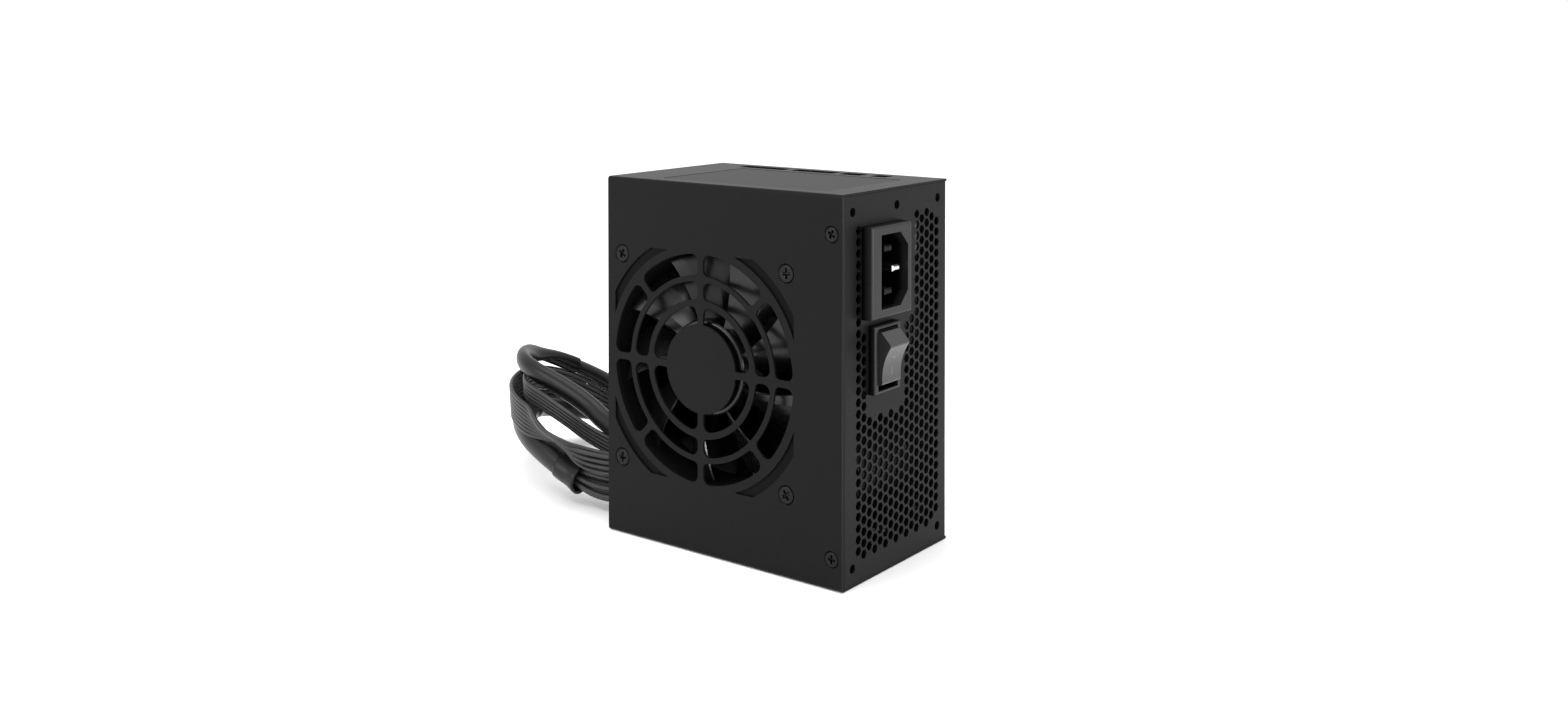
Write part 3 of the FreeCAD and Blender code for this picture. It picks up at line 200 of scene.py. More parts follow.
def join(name, objects):
    """Joins mesh objects that sit at the origin into the first, and names it."""
    bpy.ops.object.select_all(action="DESELECT")
    for obj in objects:
        obj.select_set(True)
    bpy.context.view_layer.objects.active = objects[0]
    if len(objects) > 1:
        bpy.ops.object.join()
    objects[0].name = name
    objects[0].data.name = name
    return objects[0]


def smooth_step(low, high, value):
    t = min(1.0, max(0.0, (value - low) / (high - low)))
    return t * t * (3 - 2 * t)


def mix(a, b, t):
    return a + (b - a) * t


class TubeSet:
    """Collects closed tubes of varying radius into one mesh, each with its length and turn as UVs."""

    def __init__(self, sides=12):
        self.sides = sides
        self.verts = []
        self.faces = []
        self.uvs = []

    def add(self, points, radii, squash=None):
        """One tube along points; radii is a number or a list, squash a (direction, share) for each point."""
        count = len(points)
        if not isinstance(radii, (list, tuple)):
            radii = [radii] * count
        frames = carried_frames(points)
        start = len(self.verts)
        lengths = [0.0]
        for k in range(1, count):
            lengths.append(lengths[-1] + (points[k] - points[k - 1]).length)
        for k in range(count):
            _, n, b = frames[k]
            for i in range(self.sides):
                a = 2 * math.pi * i / self.sides
                offset = (n * math.cos(a) + b * math.sin(a)) * radii[k]
                if squash and squash[k]:
                    way, share = squash[k]
                    offset = offset - way * offset.dot(way) * (1 - share)
                self.verts.append(points[k] + offset)
        for k in range(count - 1):
            for i in range(self.sides):
                j = (i + 1) % self.sides
                a, b_ = start + k * self.sides, start + (k + 1) * self.sides
                self.faces.append((a + i, a + j, b_ + j, b_ + i))
                u0, u1 = lengths[k], lengths[k + 1]
                v0, v1 = i / self.sides, (i + 1) / self.sides
                self.uvs.append(((u0, v0), (u0, v1), (u1, v1), (u1, v0)))
        first = tuple(start + i for i in range(self.sides))[::-1]
        last = tuple(start + (count - 1) * self.sides + i for i in range(self.sides))
        for face, length in ((first, 0.0), (last, lengths[-1])):
            self.faces.append(face)
            self.uvs.append(tuple((length, 0.0) for _ in face))

    def build(self, name, material):
        obj = mesh_object(name, self.verts, self.faces, material)
        layer = obj.data.uv_layers.new(name="along")
        flat = [uv for face in self.uvs for uv in face]
        for loop, uv in zip(layer.data, flat):
            loop.uv = uv
        return obj


def carried_frames(points):
    """Tangent, normal and binormal at each point, carried along with as little twist as can be."""
    count = len(points)
    tangents = []
    for k in range(count):
        a, b = points[max(0, k - 1)], points[min(count - 1, k + 1)]
        tangents.append((b - a).normalized())
    up = Vector((0, 0, 1))
    n = (up - tangents[0] * up.dot(tangents[0])).normalized()
    frames = []
    for k in range(count):
        t = tangents[k]
        n = (n - t * n.dot(t)).normalized()
        frames.append((t, n, t.cross(n)))
    return frames


def centre_line(name, spacing=1.0 * MM):
    """The cable's own curve: a spline through the route, read back as points a steady distance apart."""
    _, corners = ROUTES[name]
    data = bpy.data.curves.new(name + "_line", "CURVE")
    data.dimensions = "3D"
    spline = data.splines.new("NURBS")
    spline.points.add(len(corners) - 1)
    for point, corner in zip(spline.points, corners):
        point.co = (corner[0] * MM, corner[1] * MM, corner[2] * MM, 1.0)
    spline.order_u = 3
    spline.use_endpoint_u = True
    spline.resolution_u = 40
    holder = bpy.data.objects.new(name + "_line", data)
    bpy.context.scene.collection.objects.link(holder)
    bpy.context.view_layer.update()
    mesh = bpy.data.meshes.new_from_object(holder.evaluated_get(bpy.context.evaluated_depsgraph_get()))
    raw = [v.co.copy() for v in mesh.vertices]
    bpy.data.objects.remove(holder)
    bpy.data.curves.remove(data)
    bpy.data.meshes.remove(mesh)
    return evenly(raw, spacing)


def evenly(raw, spacing):
    lengths = [0.0]
    for a, b in zip(raw[:-1], raw[1:]):
        lengths.append(lengths[-1] + (b - a).length)
    count = max(2, int(lengths[-1] / spacing) + 1)
    points = []
    k = 0
    for i in range(count):
        want = lengths[-1] * i / (count - 1)
        while k < len(lengths) - 2 and lengths[k + 1] < want:
            k += 1
        span = lengths[k + 1] - lengths[k]
        share = 0 if span == 0 else (want - lengths[k]) / span
        points.append(raw[k].lerp(raw[k + 1], min(1, max(0, share))))
    return points


def across(tangent, way):
    """way with its part along the tangent taken out, as a unit vector."""
    return (way - tangent * way.dot(tangent)).normalized()


def fan_out(points, layout, wires):
    """One list of points for each wire. layout(share, i) gives (direction, offset along, offset across)."""
    frames = carried_frames(points)
    count = len(points)
    tracks = [[] for _ in range(wires)]
    for k, point in enumerate(points):
        tangent = frames[k][0]
        share = k / (count - 1)
        for i in range(wires):
            way, u, v = layout(share, i)
            side = across(tangent, way)
            tracks[i].append(point + side * u + tangent.cross(side) * v)
    return tracks


# ---------------------------------------------------------------- materials
MATERIALS = {}


def new_material(name):
    """An empty material with a principled surface; its tree and that surface's node."""
    material = bpy.data.materials.new(name)
    material.use_nodes = True
    tree = material.node_tree
    surface = next(n for n in tree.nodes if n.type == "BSDF_PRINCIPLED")
    MATERIALS[name] = material
    return material, tree, surface


def shade(surface, color, roughness, metallic=0.0, coat=0.0, specular=0.5):
    surface.inputs["Base Color"].default_value = (*color, 1.0)
    surface.inputs["Roughness"].default_value = roughness
    surface.inputs["Metallic"].default_value = metallic
    surface.inputs["Coat Weight"].default_value = coat
    surface.inputs["Coat Roughness"].default_value = 0.15
    surface.inputs["Specular IOR Level"].default_value = specular


def object_noise(tree, scale, detail=2.0):
    """Noise in object coordinates."""
    place = tree.nodes.new("ShaderNodeTexCoord")
    noise = tree.nodes.new("ShaderNodeTexNoise")
    noise.inputs["Scale"].default_value = scale
    noise.inputs["Detail"].default_value = detail
    noise.inputs["Roughness"].default_value = 0.5
    tree.links.new(place.outputs["Object"], noise.inputs["Vector"])
    return noise


def add_bump(tree, surface, height, strength, distance):
    bump = tree.nodes.new("ShaderNodeBump")
    bump.inputs["Strength"].default_value = strength
    bump.inputs["Distance"].default_value = distance
    tree.links.new(height, bump.inputs["Height"])
    tree.links.new(bump.outputs["Normal"], surface.inputs["Normal"])


def tint_by_noise(tree, surface, noise, dark, light):
    """Lets the base colour drift a little between two shades."""
    ramp = tree.nodes.new("ShaderNodeValToRGB")
    ramp.color_ramp.elements[0].position = 0.35
    ramp.color_ramp.elements[0].color = (*dark, 1.0)
    ramp.color_ramp.elements[1].position = 0.65
    ramp.color_ramp.elements[1].color = (*light, 1.0)
    tree.links.new(noise.outputs["Fac"], ramp.inputs["Fac"])
    tree.links.new(ramp.outputs["Color"], surface.inputs["Base Color"])


def make_powder_coat(name, color, roughness):
    material, tree, surface = new_material(name)
    shade(surface, color, roughness, specular=0.1)
    grain = object_noise(tree, 2600.0, 2.0)
    add_bump(tree, surface, grain.outputs["Fac"], 0.18, 0.00004)
    cloud = object_noise(tree, 14.0, 3.0)
    tint_by_noise(tree, surface, cloud, [c * 0.93 for c in color], [c * 1.07 for c in color])
    return material


def make_plastic(name, color, roughness, grain_scale=1800.0, grain=0.1, coat=0.0, specular=0.25):
    material, tree, surface = new_material(name)
    shade(surface, color, roughness, coat=coat, specular=specular)
    noise = object_noise(tree, grain_scale, 2.0)
    add_bump(tree, surface, noise.outputs["Fac"], grain, 0.00003)
    cloud = object_noise(tree, 40.0, 2.0)
    tint_by_noise(tree, surface, cloud, [c * 0.95 for c in color], [c * 1.06 for c in color])
    return material


# Painted shade: the socket plastic's colour and gloss are scaled down to this share below the first X and rise
# to full at the second, so the mains inlet's well looks dark; the switch body and cable bushing share this
# material and get the same painted shade where their X is as low.
SOCKET_PAINTED_SHADE_X = 50.5 * MM
SOCKET_UNSHADED_X = 52.4 * MM
SOCKET_PAINTED_SHADE_SHARE = 0.12


def paint_hollow_shade(material, x_painted_shade, x_unshaded):
    """Paints shade into the hollows: colour and gloss fall off along X, from full at the outer X down to the
    painted shade share at the inner X.
    """
    tree = material.node_tree
    surface = next(n for n in tree.nodes if n.type == "BSDF_PRINCIPLED")
    place = tree.nodes.new("ShaderNodeTexCoord")
    split = tree.nodes.new("ShaderNodeSeparateXYZ")
    # mask of the painted shade: the share of colour and gloss kept along X
    depth = tree.nodes.new("ShaderNodeMapRange")
    depth.inputs["From Min"].default_value = x_painted_shade
    depth.inputs["From Max"].default_value = x_unshaded
    depth.inputs["To Min"].default_value = SOCKET_PAINTED_SHADE_SHARE
    gloss = tree.nodes.new("ShaderNodeMath")
    gloss.operation = "MULTIPLY"
    gloss.inputs[1].default_value = surface.inputs["Specular IOR Level"].default_value
    # base colour scaled by the painted shade mask
    tint = tree.nodes.new("ShaderNodeVectorMath")
    tint.operation = "SCALE"
    color = surface.inputs["Base Color"].links[0].from_socket
    tree.links.new(place.outputs["Object"], split.inputs["Vector"])
    tree.links.new(split.outputs["X"], depth.inputs["Value"])
    tree.links.new(depth.outputs["Result"], gloss.inputs[0])
    tree.links.new(gloss.outputs["Value"], surface.inputs["Specular IOR Level"])
    tree.links.new(color, tint.inputs[0])
    tree.links.new(depth.outputs["Result"], tint.inputs["Scale"])
    tree.links.new(tint.outputs["Vector"], surface.inputs["Base Color"])


def make_metal(name, color, roughness, stretch=(1.0, 1.0, 1.0)):
    material, tree, surface = new_material(name)
    shade(surface, color, roughness, metallic=1.0)
    place = tree.nodes.new("ShaderNodeTexCoord")
    turn = tree.nodes.new("ShaderNodeMapping")
    turn.inputs["Scale"].default_value = stretch
    noise = tree.nodes.new("ShaderNodeTexNoise")
    noise.inputs["Scale"].default_value = 900.0
    tree.links.new(place.outputs["Object"], turn.inputs["Vector"])
    tree.links.new(turn.outputs["Vector"], noise.inputs["Vector"])
    add_bump(tree, surface, noise.outputs["Fac"], 0.12, 0.00003)
    tint_by_noise(tree, surface, noise, [c * 0.93 for c in color], [min(1, c * 1.05) for c in color])
    return material


def make_wire(name, color):
    material, tree, surface = new_material(name)
    shade(surface, color, 0.36, specular=0.3)
    cloud = object_noise(tree, 300.0, 2.0)
    tint_by_noise(tree, surface, cloud, [c * 0.9 for c in color], [c * 1.12 for c in color])
    add_bump(tree, surface, cloud.outputs["Fac"], 0.06, 0.0001)
    return material


def make_winding(name, color):
    """Round turns of enamelled wire."""
    material, tree, surface = new_material(name)
    shade(surface, color, 0.32, metallic=0.85)
    place = tree.nodes.new("ShaderNodeTexCoord")
    wave = tree.nodes.new("ShaderNodeTexWave")
    wave.wave_type = "BANDS"
    wave.bands_direction = "Z"
    wave.inputs["Scale"].default_value = 420.0
    wave.inputs["Distortion"].default_value = 0.6
    tree.links.new(place.outputs["Object"], wave.inputs["Vector"])
    add_bump(tree, surface, wave.outputs["Fac"], 0.6, 0.0004)
    return material


NODE_FINISHES = {
    "coat": ("chassis_tray", "fan_cover"),
    "film": ("side_label", "insulation_film"),
    "socket plastic with painted shade": ("inlet_body", "switch_body", "cable_bushing"),
    "rocker plastic": ("switch_rocker",),
    "plated pins": ("inlet_earth_pin",),
    "shaded pins": ("inlet_line_pins", "switch_terminals"),
    "wire": ("inlet_leads", "switch_leads", "fan_lead", "output_bundle"),
    "fan frame plastic": ("fan_frame",),
    "fan plastic": ("fan_rotor",),
    "ground steel": ("fan_shaft", "board_screws"),
    "turned brass": ("fan_bearing", "standoffs"),
    "copper winding": ("fan_stator", "pfc_choke", "common_mode_choke", "output_choke"),
    "natural nylon": ("fan_connector",),
    "board": ("main_board", "control_board"),
    "can sleeve": ("bulk_capacitor", "output_capacitors"),
    "taped core": ("main_transformer", "standby_transformer"),
    "black anodised": ("primary_heatsink", "secondary_heatsink"),
    "epoxy": ("power_transistors", "output_rectifiers", "bridge_rectifier"),
    "box film": ("filter_capacitor",),
    "fuse glass": ("fuse",),
    "plug nylon": ("cpu_plug", "drive_plug", "graphics_plug", "main_plug"),
}


class PSU_OT_finishes(bpy.types.Operator):
    """Makes every finish and puts it on the carried-over parts"""

    bl_idname = "psu.finishes"
    bl_label = "Finishes"

    def execute(self, context):
        finish = context.scene.psu_finish
        cable = context.scene.psu_cable
        make_powder_coat("coat", finish.coat_color, finish.coat_roughness)
        make_plastic("film", finish.coat_color, 0.5, specular=0.16)
        # socket plastic with painted shade in its hollows
        paint_hollow_shade(make_plastic("socket plastic with painted shade", finish.plastic_color, 0.4), SOCKET_PAINTED_SHADE_X, SOCKET_UNSHADED_X)
        make_plastic("rocker plastic", (0.014, 0.014, 0.0145), 0.3, grain=0.03, coat=0.3)
        make_plastic("fan frame plastic", finish.fan_color, 0.6, specular=0.06)
        make_plastic("fan plastic", finish.fan_color, 0.24, grain=0.05, specular=0.4)
        make_plastic("plug nylon", finish.plastic_color, 0.42)
        # Painted shade: natural nylon, board, taped core, box film and fuse glass are set near black, darker
        # than these parts' own colours, for the dark inside the closed housing.
        make_plastic("natural nylon", (0.02, 0.02, 0.02), 0.45)
        make_plastic("board", (0.004, 0.006, 0.0045), 0.5, 500.0, 0.2)
        make_plastic("can sleeve", (0.004, 0.004, 0.006), 0.4)
        make_plastic("taped core", (0.005, 0.005, 0.004), 0.5)
        make_plastic("epoxy", (0.004, 0.004, 0.004), 0.5)
        make_plastic("box film", (0.006, 0.005, 0.004), 0.45)
        make_plastic("fuse glass", (0.05, 0.053, 0.052), 0.08)
        make_plastic("mark ink", (0.1, 0.1, 0.1), 0.5)
        make_metal("plated pins", (0.7, 0.7, 0.71), 0.22)
        # Painted shade: the inlet's line pins are plated like the earth pin but get near-black metal so they
        # sit dark in the socket's well; the switch terminals share it.
        make_metal("shaded pins", (0.014, 0.014, 0.0142), 0.5)
        make_metal("ground steel", (0.2, 0.2, 0.2), 0.35)
        make_metal("black steel", (0.02, 0.02, 0.0208), 0.4)
        make_metal("turned brass", (0.2, 0.15, 0.07), 0.35)
        make_metal("black anodised", (0.02, 0.02, 0.021), 0.45, (1.0, 1.0, 12.0))
        # Painted shade: the copper winding is set near black, darker than copper, for the dark inside the
        # closed housing.
        make_winding("copper winding", (0.012, 0.007, 0.005))
        make_wire("wire", cable.wire_color)
        make_plastic("shrink tube", cable.sleeve_color, 0.34, 700.0, 0.12)
        for name, nodes in NODE_FINISHES.items():
            for node in nodes:
                mesh = NODES[node].data
                mesh.materials.clear()
                mesh.materials.append(MATERIALS[name])
        return {"FINISHED"}


# ---------------------------------------------------------------- camera and stage
CAMERA_PLACE = (312.75 * MM, -411.13 * MM, 177.26 * MM)
CAMERA_YAW = math.radians(36.943)
CAMERA_PITCH = math.radians(1.069)
CAMERA_LENS = 34.07
CAMERA_SENSOR = 36.0
CAMERA_SHIFT_Y = -0.192


class PSU_OT_camera(bpy.types.Operator):
    """Places the camera"""

    bl_idname = "psu.camera"
    bl_label = "Camera"

    def execute(self, context):
        data = bpy.data.cameras.new("view")
        data.lens = CAMERA_LENS
        data.sensor_width = CAMERA_SENSOR
        data.shift_y = CAMERA_SHIFT_Y
        data.clip_start = 0.01
        data.clip_end = 50.0
        camera = bpy.data.objects.new("view", data)
        camera.location = CAMERA_PLACE
        camera.rotation_euler = (math.pi / 2 - CAMERA_PITCH, 0.0, CAMERA_YAW)
        context.scene.collection.objects.link(camera)
        context.scene.camera = camera
        return {"FINISHED"}


FLOOR_REACH = 8.0
FLOOR_LIFT = -0.0002  # just under the resting plane
WORLD_STRENGTH = 1.08
# each light's name, place, aim, size and power
LIGHTS = (
    ("above", (-0.1, -0.3, 1.4), (0.0, 0.0, 0.06), (1.2, 1.2), 14.0),
    ("mains side", (1.3, -0.2, 0.12), (0.05, 0.0, 0.02), (0.6, 0.4), 22.0),
    ("fan side", (-0.6, -1.3, 0.5), (0.0, 0.0, 0.06), (0.8, 0.6), 6.0),
)


def area_light(name, place, aim, size, power):
    data = bpy.data.lights.new(name, "AREA")
    data.shape = "RECTANGLE"
    data.size, data.size_y = size
    data.energy = power
    light = bpy.data.objects.new(name, data)
    light.location = place
    way = Vector(aim) - Vector(place)
    light.rotation_euler = way.to_track_quat("-Z", "Y").to_euler()
    bpy.context.scene.collection.objects.link(light)


class PSU_OT_stage(bpy.types.Operator):
    """Makes the pale floor, the lights and the surroundings"""

    bl_idname = "psu.stage"
    bl_label = "Stage"

    def execute(self, context):
        material, _, surface = new_material("floor paper")
        shade(surface, (0.96, 0.96, 0.96), 0.9, specular=0.0)
        reach, lift = FLOOR_REACH, FLOOR_LIFT
        floor = mesh_object(
            "floor",
            [(-reach, -reach, lift), (reach, -reach, lift), (reach, reach, lift), (-reach, reach, lift)],
            [(0, 1, 2, 3)],
            material,
            smooth=False,
        )
        for light in LIGHTS:
            area_light(*light)
        world = bpy.data.worlds.new("studio")
        world.use_nodes = True
        back = world.node_tree.nodes["Background"]
        back.inputs["Color"].default_value = (1.0, 1.0, 1.0, 1.0)
        back.inputs["Strength"].default_value = WORLD_STRENGTH
        context.scene.world = world
        context.scene.view_settings.view_transform = "Standard"
        return {"FINISHED"}


# ---------------------------------------------------------------- screws and marks
def lathe(name, profile, sink, sides=64):
    """A solid turned about Y from (radius, y) pairs. sink(radius, angle) moves points of the face along Y."""
    verts, faces = [], []
    for radius, y, sinks in profile:
        for i in range(sides):
            a = 2 * math.pi * i / sides
            deep = sink(radius, a) if sinks else 0.0
            verts.append((radius * math.cos(a), y + deep, radius * math.sin(a)))
    for k in range(len(profile) - 1):
        for i in range(sides):
            j = (i + 1) % sides
            a, b = k * sides, (k + 1) * sides
            faces.append((a + i, a + j, b + j, b + i))
    faces.append(tuple(range(sides)))
    faces.append(tuple((len(profile) - 1) * sides + i for i in range(sides)))
    obj = mesh_object(name, verts, faces)
    recalculate_normals(obj)
    return obj


def cross_recess(head_r):
    """A function that gives how deep the cross recess is at a radius and angle."""
    arm, half, deep = head_r * 0.62, head_r * 0.15, 1.1 * MM

    def sink(radius, angle):
        x, z = abs(radius * math.cos(angle)), abs(radius * math.sin(angle))
        off = min(x, z)
        wall = 1 - smooth_step(half * 0.7, half * 1.3, off)
        end = 1 - smooth_step(arm * 0.75, arm, max(x, z))
        return deep * wall * end

    return sink


HEAD_EDGE = ((0.86, 0.04), (0.94, 0.14), (0.98, 0.32), (0.8, 0.64))  # shares of the head's radius, and depths


def screw(name, head_r, shank_r, long):
    """A countersunk screw with its face at the origin and its shank along +Y."""
    rings = 14
    profile = [(head_r * 0.74 * max(k, 0.02) / rings, 0.0, True) for k in range(rings + 1)]
    for share, depth in HEAD_EDGE:
        profile.append((head_r * share, depth * MM, False))
    profile += [(shank_r, 0.66 * MM, False), (shank_r, long, False)]
    return lathe(name, profile, cross_recess(head_r))


def scatter_tree():
    """Puts one object on every point of a mesh, each turned about Y by a step more than the one before."""
    tree = bpy.data.node_groups.new("scatter on points", "GeometryNodeTree")
    tree.interface.new_socket("Geometry", in_out="INPUT", socket_type="NodeSocketGeometry")
    tree.interface.new_socket("Part", in_out="INPUT", socket_type="NodeSocketObject")
    tree.interface.new_socket("Turn", in_out="INPUT", socket_type="NodeSocketFloat")
    tree.interface.new_socket("Finish", in_out="INPUT", socket_type="NodeSocketMaterial")
    tree.interface.new_socket("Geometry", in_out="OUTPUT", socket_type="NodeSocketGeometry")
    source = tree.nodes.new("NodeGroupInput")
    result = tree.nodes.new("NodeGroupOutput")
    part = tree.nodes.new("GeometryNodeObjectInfo")
    index = tree.nodes.new("GeometryNodeInputIndex")
    turn = tree.nodes.new("ShaderNodeMath")
    turn.operation = "MULTIPLY"
    angles = tree.nodes.new("ShaderNodeCombineXYZ")
    place = tree.nodes.new("GeometryNodeInstanceOnPoints")
    solid = tree.nodes.new("GeometryNodeRealizeInstances")
    finish = tree.nodes.new("GeometryNodeSetMaterial")
    link = tree.links.new
    link(source.outputs["Part"], part.inputs["Object"])
    link(index.outputs["Index"], turn.inputs[0])
    link(source.outputs["Turn"], turn.inputs[1])
    link(turn.outputs["Value"], angles.inputs["Y"])
    link(source.outputs["Geometry"], place.inputs["Points"])
    link(part.outputs["Geometry"], place.inputs["Instance"])
    link(angles.outputs["Vector"], place.inputs["Rotation"])
    link(place.outputs["Instances"], solid.inputs["Geometry"])
    link(solid.outputs["Geometry"], finish.inputs["Geometry"])
    link(source.outputs["Finish"], finish.inputs["Material"])
    link(finish.outputs["Geometry"], result.inputs["Geometry"])
    return tree


def scatter(name, part, spots, turn, finish):
    """One mesh of the part repeated at every spot."""
    carrier = mesh_object(name + "_spots", spots, [])
    tree = scatter_tree()
    modifier = carrier.modifiers.new("scatter", "NODES")
    modifier.node_group = tree
    values = {"Part": part, "Turn": turn, "Finish": finish}
    for item in tree.interface.items_tree:
        if item.in_out == "INPUT" and item.name in values:
            modifier[item.identifier] = values[item.name]
    bpy.context.view_layer.update()
    mesh = bpy.data.meshes.new_from_object(carrier.evaluated_get(bpy.context.evaluated_depsgraph_get()))
    mesh.name = name
    bpy.data.objects.remove(carrier)
    bpy.data.objects.remove(part)
    obj = bpy.data.objects.new(name, mesh)
    bpy.context.scene.collection.objects.link(obj)
    return obj


def head_spots(node, solid_head_r, columns):
    """The middles of a node's screw heads: the corners of its box, in by the radius of its solids' heads."""
    low, high = (Vector(corner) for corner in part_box(node))
    xs = (low.x + solid_head_r, high.x - solid_head_r)[:columns]
    return [(x, low.y, z) for x in xs for z in (low.z + solid_head_r, high.z - solid_head_r)]


# each node's radius of its solids' heads, radius of its shanks, and columns of screws
SCREW_SIZES = {"fan_screws": (3.1 * MM, 2.1 * MM, 2), "cover_screws": (2.6 * MM, 1.5 * MM, 1)}


class PSU_OT_screws(bpy.types.Operator):
    """Makes the fan's screws and the cover's screws"""

    bl_idname = "psu.screws"
    bl_label = "Screws"

    def execute(self, context):
        settings = context.scene.psu_fastener
        heads = {"fan_screws": settings.head_radius, "cover_screws": settings.cover_head_radius}
        for node, head_r in heads.items():
            solid_head_r, shank_r, columns = SCREW_SIZES[node]
            low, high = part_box(node)
            part = screw(node + "_part", head_r, shank_r, high[1] - low[1])
            spots = head_spots(node, solid_head_r, columns)
            obj = scatter(node + "_turned", part, spots, settings.turns, MATERIALS["black steel"])
            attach(obj, "housing")
            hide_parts(node)
        return {"FINISHED"}


ROCKER_PIVOT = (50.3, 70.55)  # along X and Z
ROCKER_TILT = math.radians(15)
ROCKER_MIDDLE_Y = -9.25
ROCKER_FACE_R = 17.4  # hollow of the rocker's face
ROCKER_FACE_V = 4.7  # the hollow's lowest point, out from the wall
WALL_X = 50.0
STRIP_SUNK, STRIP_PROUD = -0.05, 0.04
RING_MIDDLE_U = 3.0
RING_RADII = (1.15, 1.5)
RING_SIDES = 40
BAR_LOW_U = -4.4
BAR_STEP = 0.4
BAR_ROWS = 8
BAR_HALF = 0.2


def on_rocker(u, y, out):
    """A point on the rocker's hollow face, from millimetres up, across and out above the face."""
    v = ROCKER_FACE_V + ROCKER_FACE_R - math.sqrt(ROCKER_FACE_R ** 2 - u ** 2) + out
    x, z = WALL_X + v - ROCKER_PIVOT[0], u
    turned_x = x * math.cos(ROCKER_TILT) + z * math.sin(ROCKER_TILT)
    turned_z = z * math.cos(ROCKER_TILT) - x * math.sin(ROCKER_TILT)
    return Vector((ROCKER_PIVOT[0] + turned_x, ROCKER_MIDDLE_Y + y, ROCKER_PIVOT[1] + turned_z)) * MM


def raised_strip(name, inner, outer, closed):
    """A thin raised strip on the rocker's face between two rows of (u, y) points."""
    count = len(inner)
    rows = []
    for row, out in ((outer, STRIP_SUNK), (outer, STRIP_PROUD), (inner, STRIP_PROUD), (inner, STRIP_SUNK)):
        rows.append([on_rocker(u, y, out) for u, y in row])
    verts = [p for row in rows for p in row]
    faces = []
    for k in range(count if closed else count - 1):
        j = (k + 1) % count
        for r in range(4):
            a, b = r * count, ((r + 1) % 4) * count
            faces.append((a + k, a + j, b + j, b + k))
    if not closed:
        faces.append((0, count, 2 * count, 3 * count))
        faces.append((count - 1, 2 * count - 1, 3 * count - 1, 4 * count - 1))
    obj = mesh_object(name, verts, faces, MATERIALS["mark ink"], smooth=False)
    recalculate_normals(obj)
    return obj


class PSU_OT_marks(bpy.types.Operator):
    """Makes the on and off marks on the rocker"""

    bl_idname = "psu.marks"
    bl_label = "Rocker marks"

    def execute(self, context):
        angles = [2 * math.pi * k / RING_SIDES for k in range(RING_SIDES)]
        ring = [[(RING_MIDDLE_U + r * math.cos(a), r * math.sin(a)) for a in angles] for r in RING_RADII]
        off_mark = raised_strip("rocker_off_mark", ring[0], ring[1], True)
        us = [BAR_LOW_U + BAR_STEP * k for k in range(BAR_ROWS)]
        sides = [[(u, y) for u in us] for y in (BAR_HALF, -BAR_HALF)]
        on_mark = raised_strip("rocker_on_mark", sides[0], sides[1], False)
        marks = join("rocker_marks", [off_mark, on_mark])
        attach(marks, "rocker")
        return {"FINISHED"}


# ---------------------------------------------------------------- cables
UP = Vector((0, 0, 1))
BACK_SIDE = Vector((0, 1, 0))
# distance from the middle in millimetres and angle in degrees: eight outer wires, then four inner ones
OUTER_STRANDS = tuple((4.1, 360 * k / 8 + 10) for k in range(8))
INNER_STRANDS = tuple((1.75, 360 * k / 4 + 30) for k in range(4))
STRANDS = OUTER_STRANDS + INNER_STRANDS
SLEEVE_RADII = (5.1, 5.75, 4.6)  # at its start, along it and at its end
COLLAR_OUTER = (6.3, 5.5)  # at its mouth and along it
COLLAR_INNER = (5.55, 4.9)
COLLAR_SIDES = 32
PLUG_PITCH = 4.2
PLUG_COLUMNS = 12
PLUG_MIDDLE_HEIGHT = 6.3  # of its contacts, over its lowest point
SLEEVE_CLEAR = 5.0  # contacts nearer to the cable's middle than this take the wires inside the sleeve
DRIVE_WIRE_RADIUS = 0.78


def declare_cable(obj, name):
    """The piece rides on the housing and stands for its solid, which is hidden."""
    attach(obj, "housing")
    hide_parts(name)


def loose_strands(points, share_in, share_out, radius, spread):
    """Separate wires round the centre line between two shares of its length, widened by spread(share)."""
    frames = carried_frames(points)
    count = len(points)
    tracks = []
    for number, (ring, angle) in enumerate(STRANDS):
        track = []
        for k in range(int(share_in * (count - 1)), int(share_out * (count - 1)) + 1):
            share = k / (count - 1)
            _, n, b = frames[k]
            turn = math.radians(angle + 70 * share)
            sway = 0.35 * math.sin(share * 60 + number * 2.1) * (spread(share) - 0.6)
            reach = (ring * spread(share) + sway) * MM
            track.append(points[k] + (n * math.cos(turn) + b * math.sin(turn)) * reach)
        tracks.append(track)
    return tracks


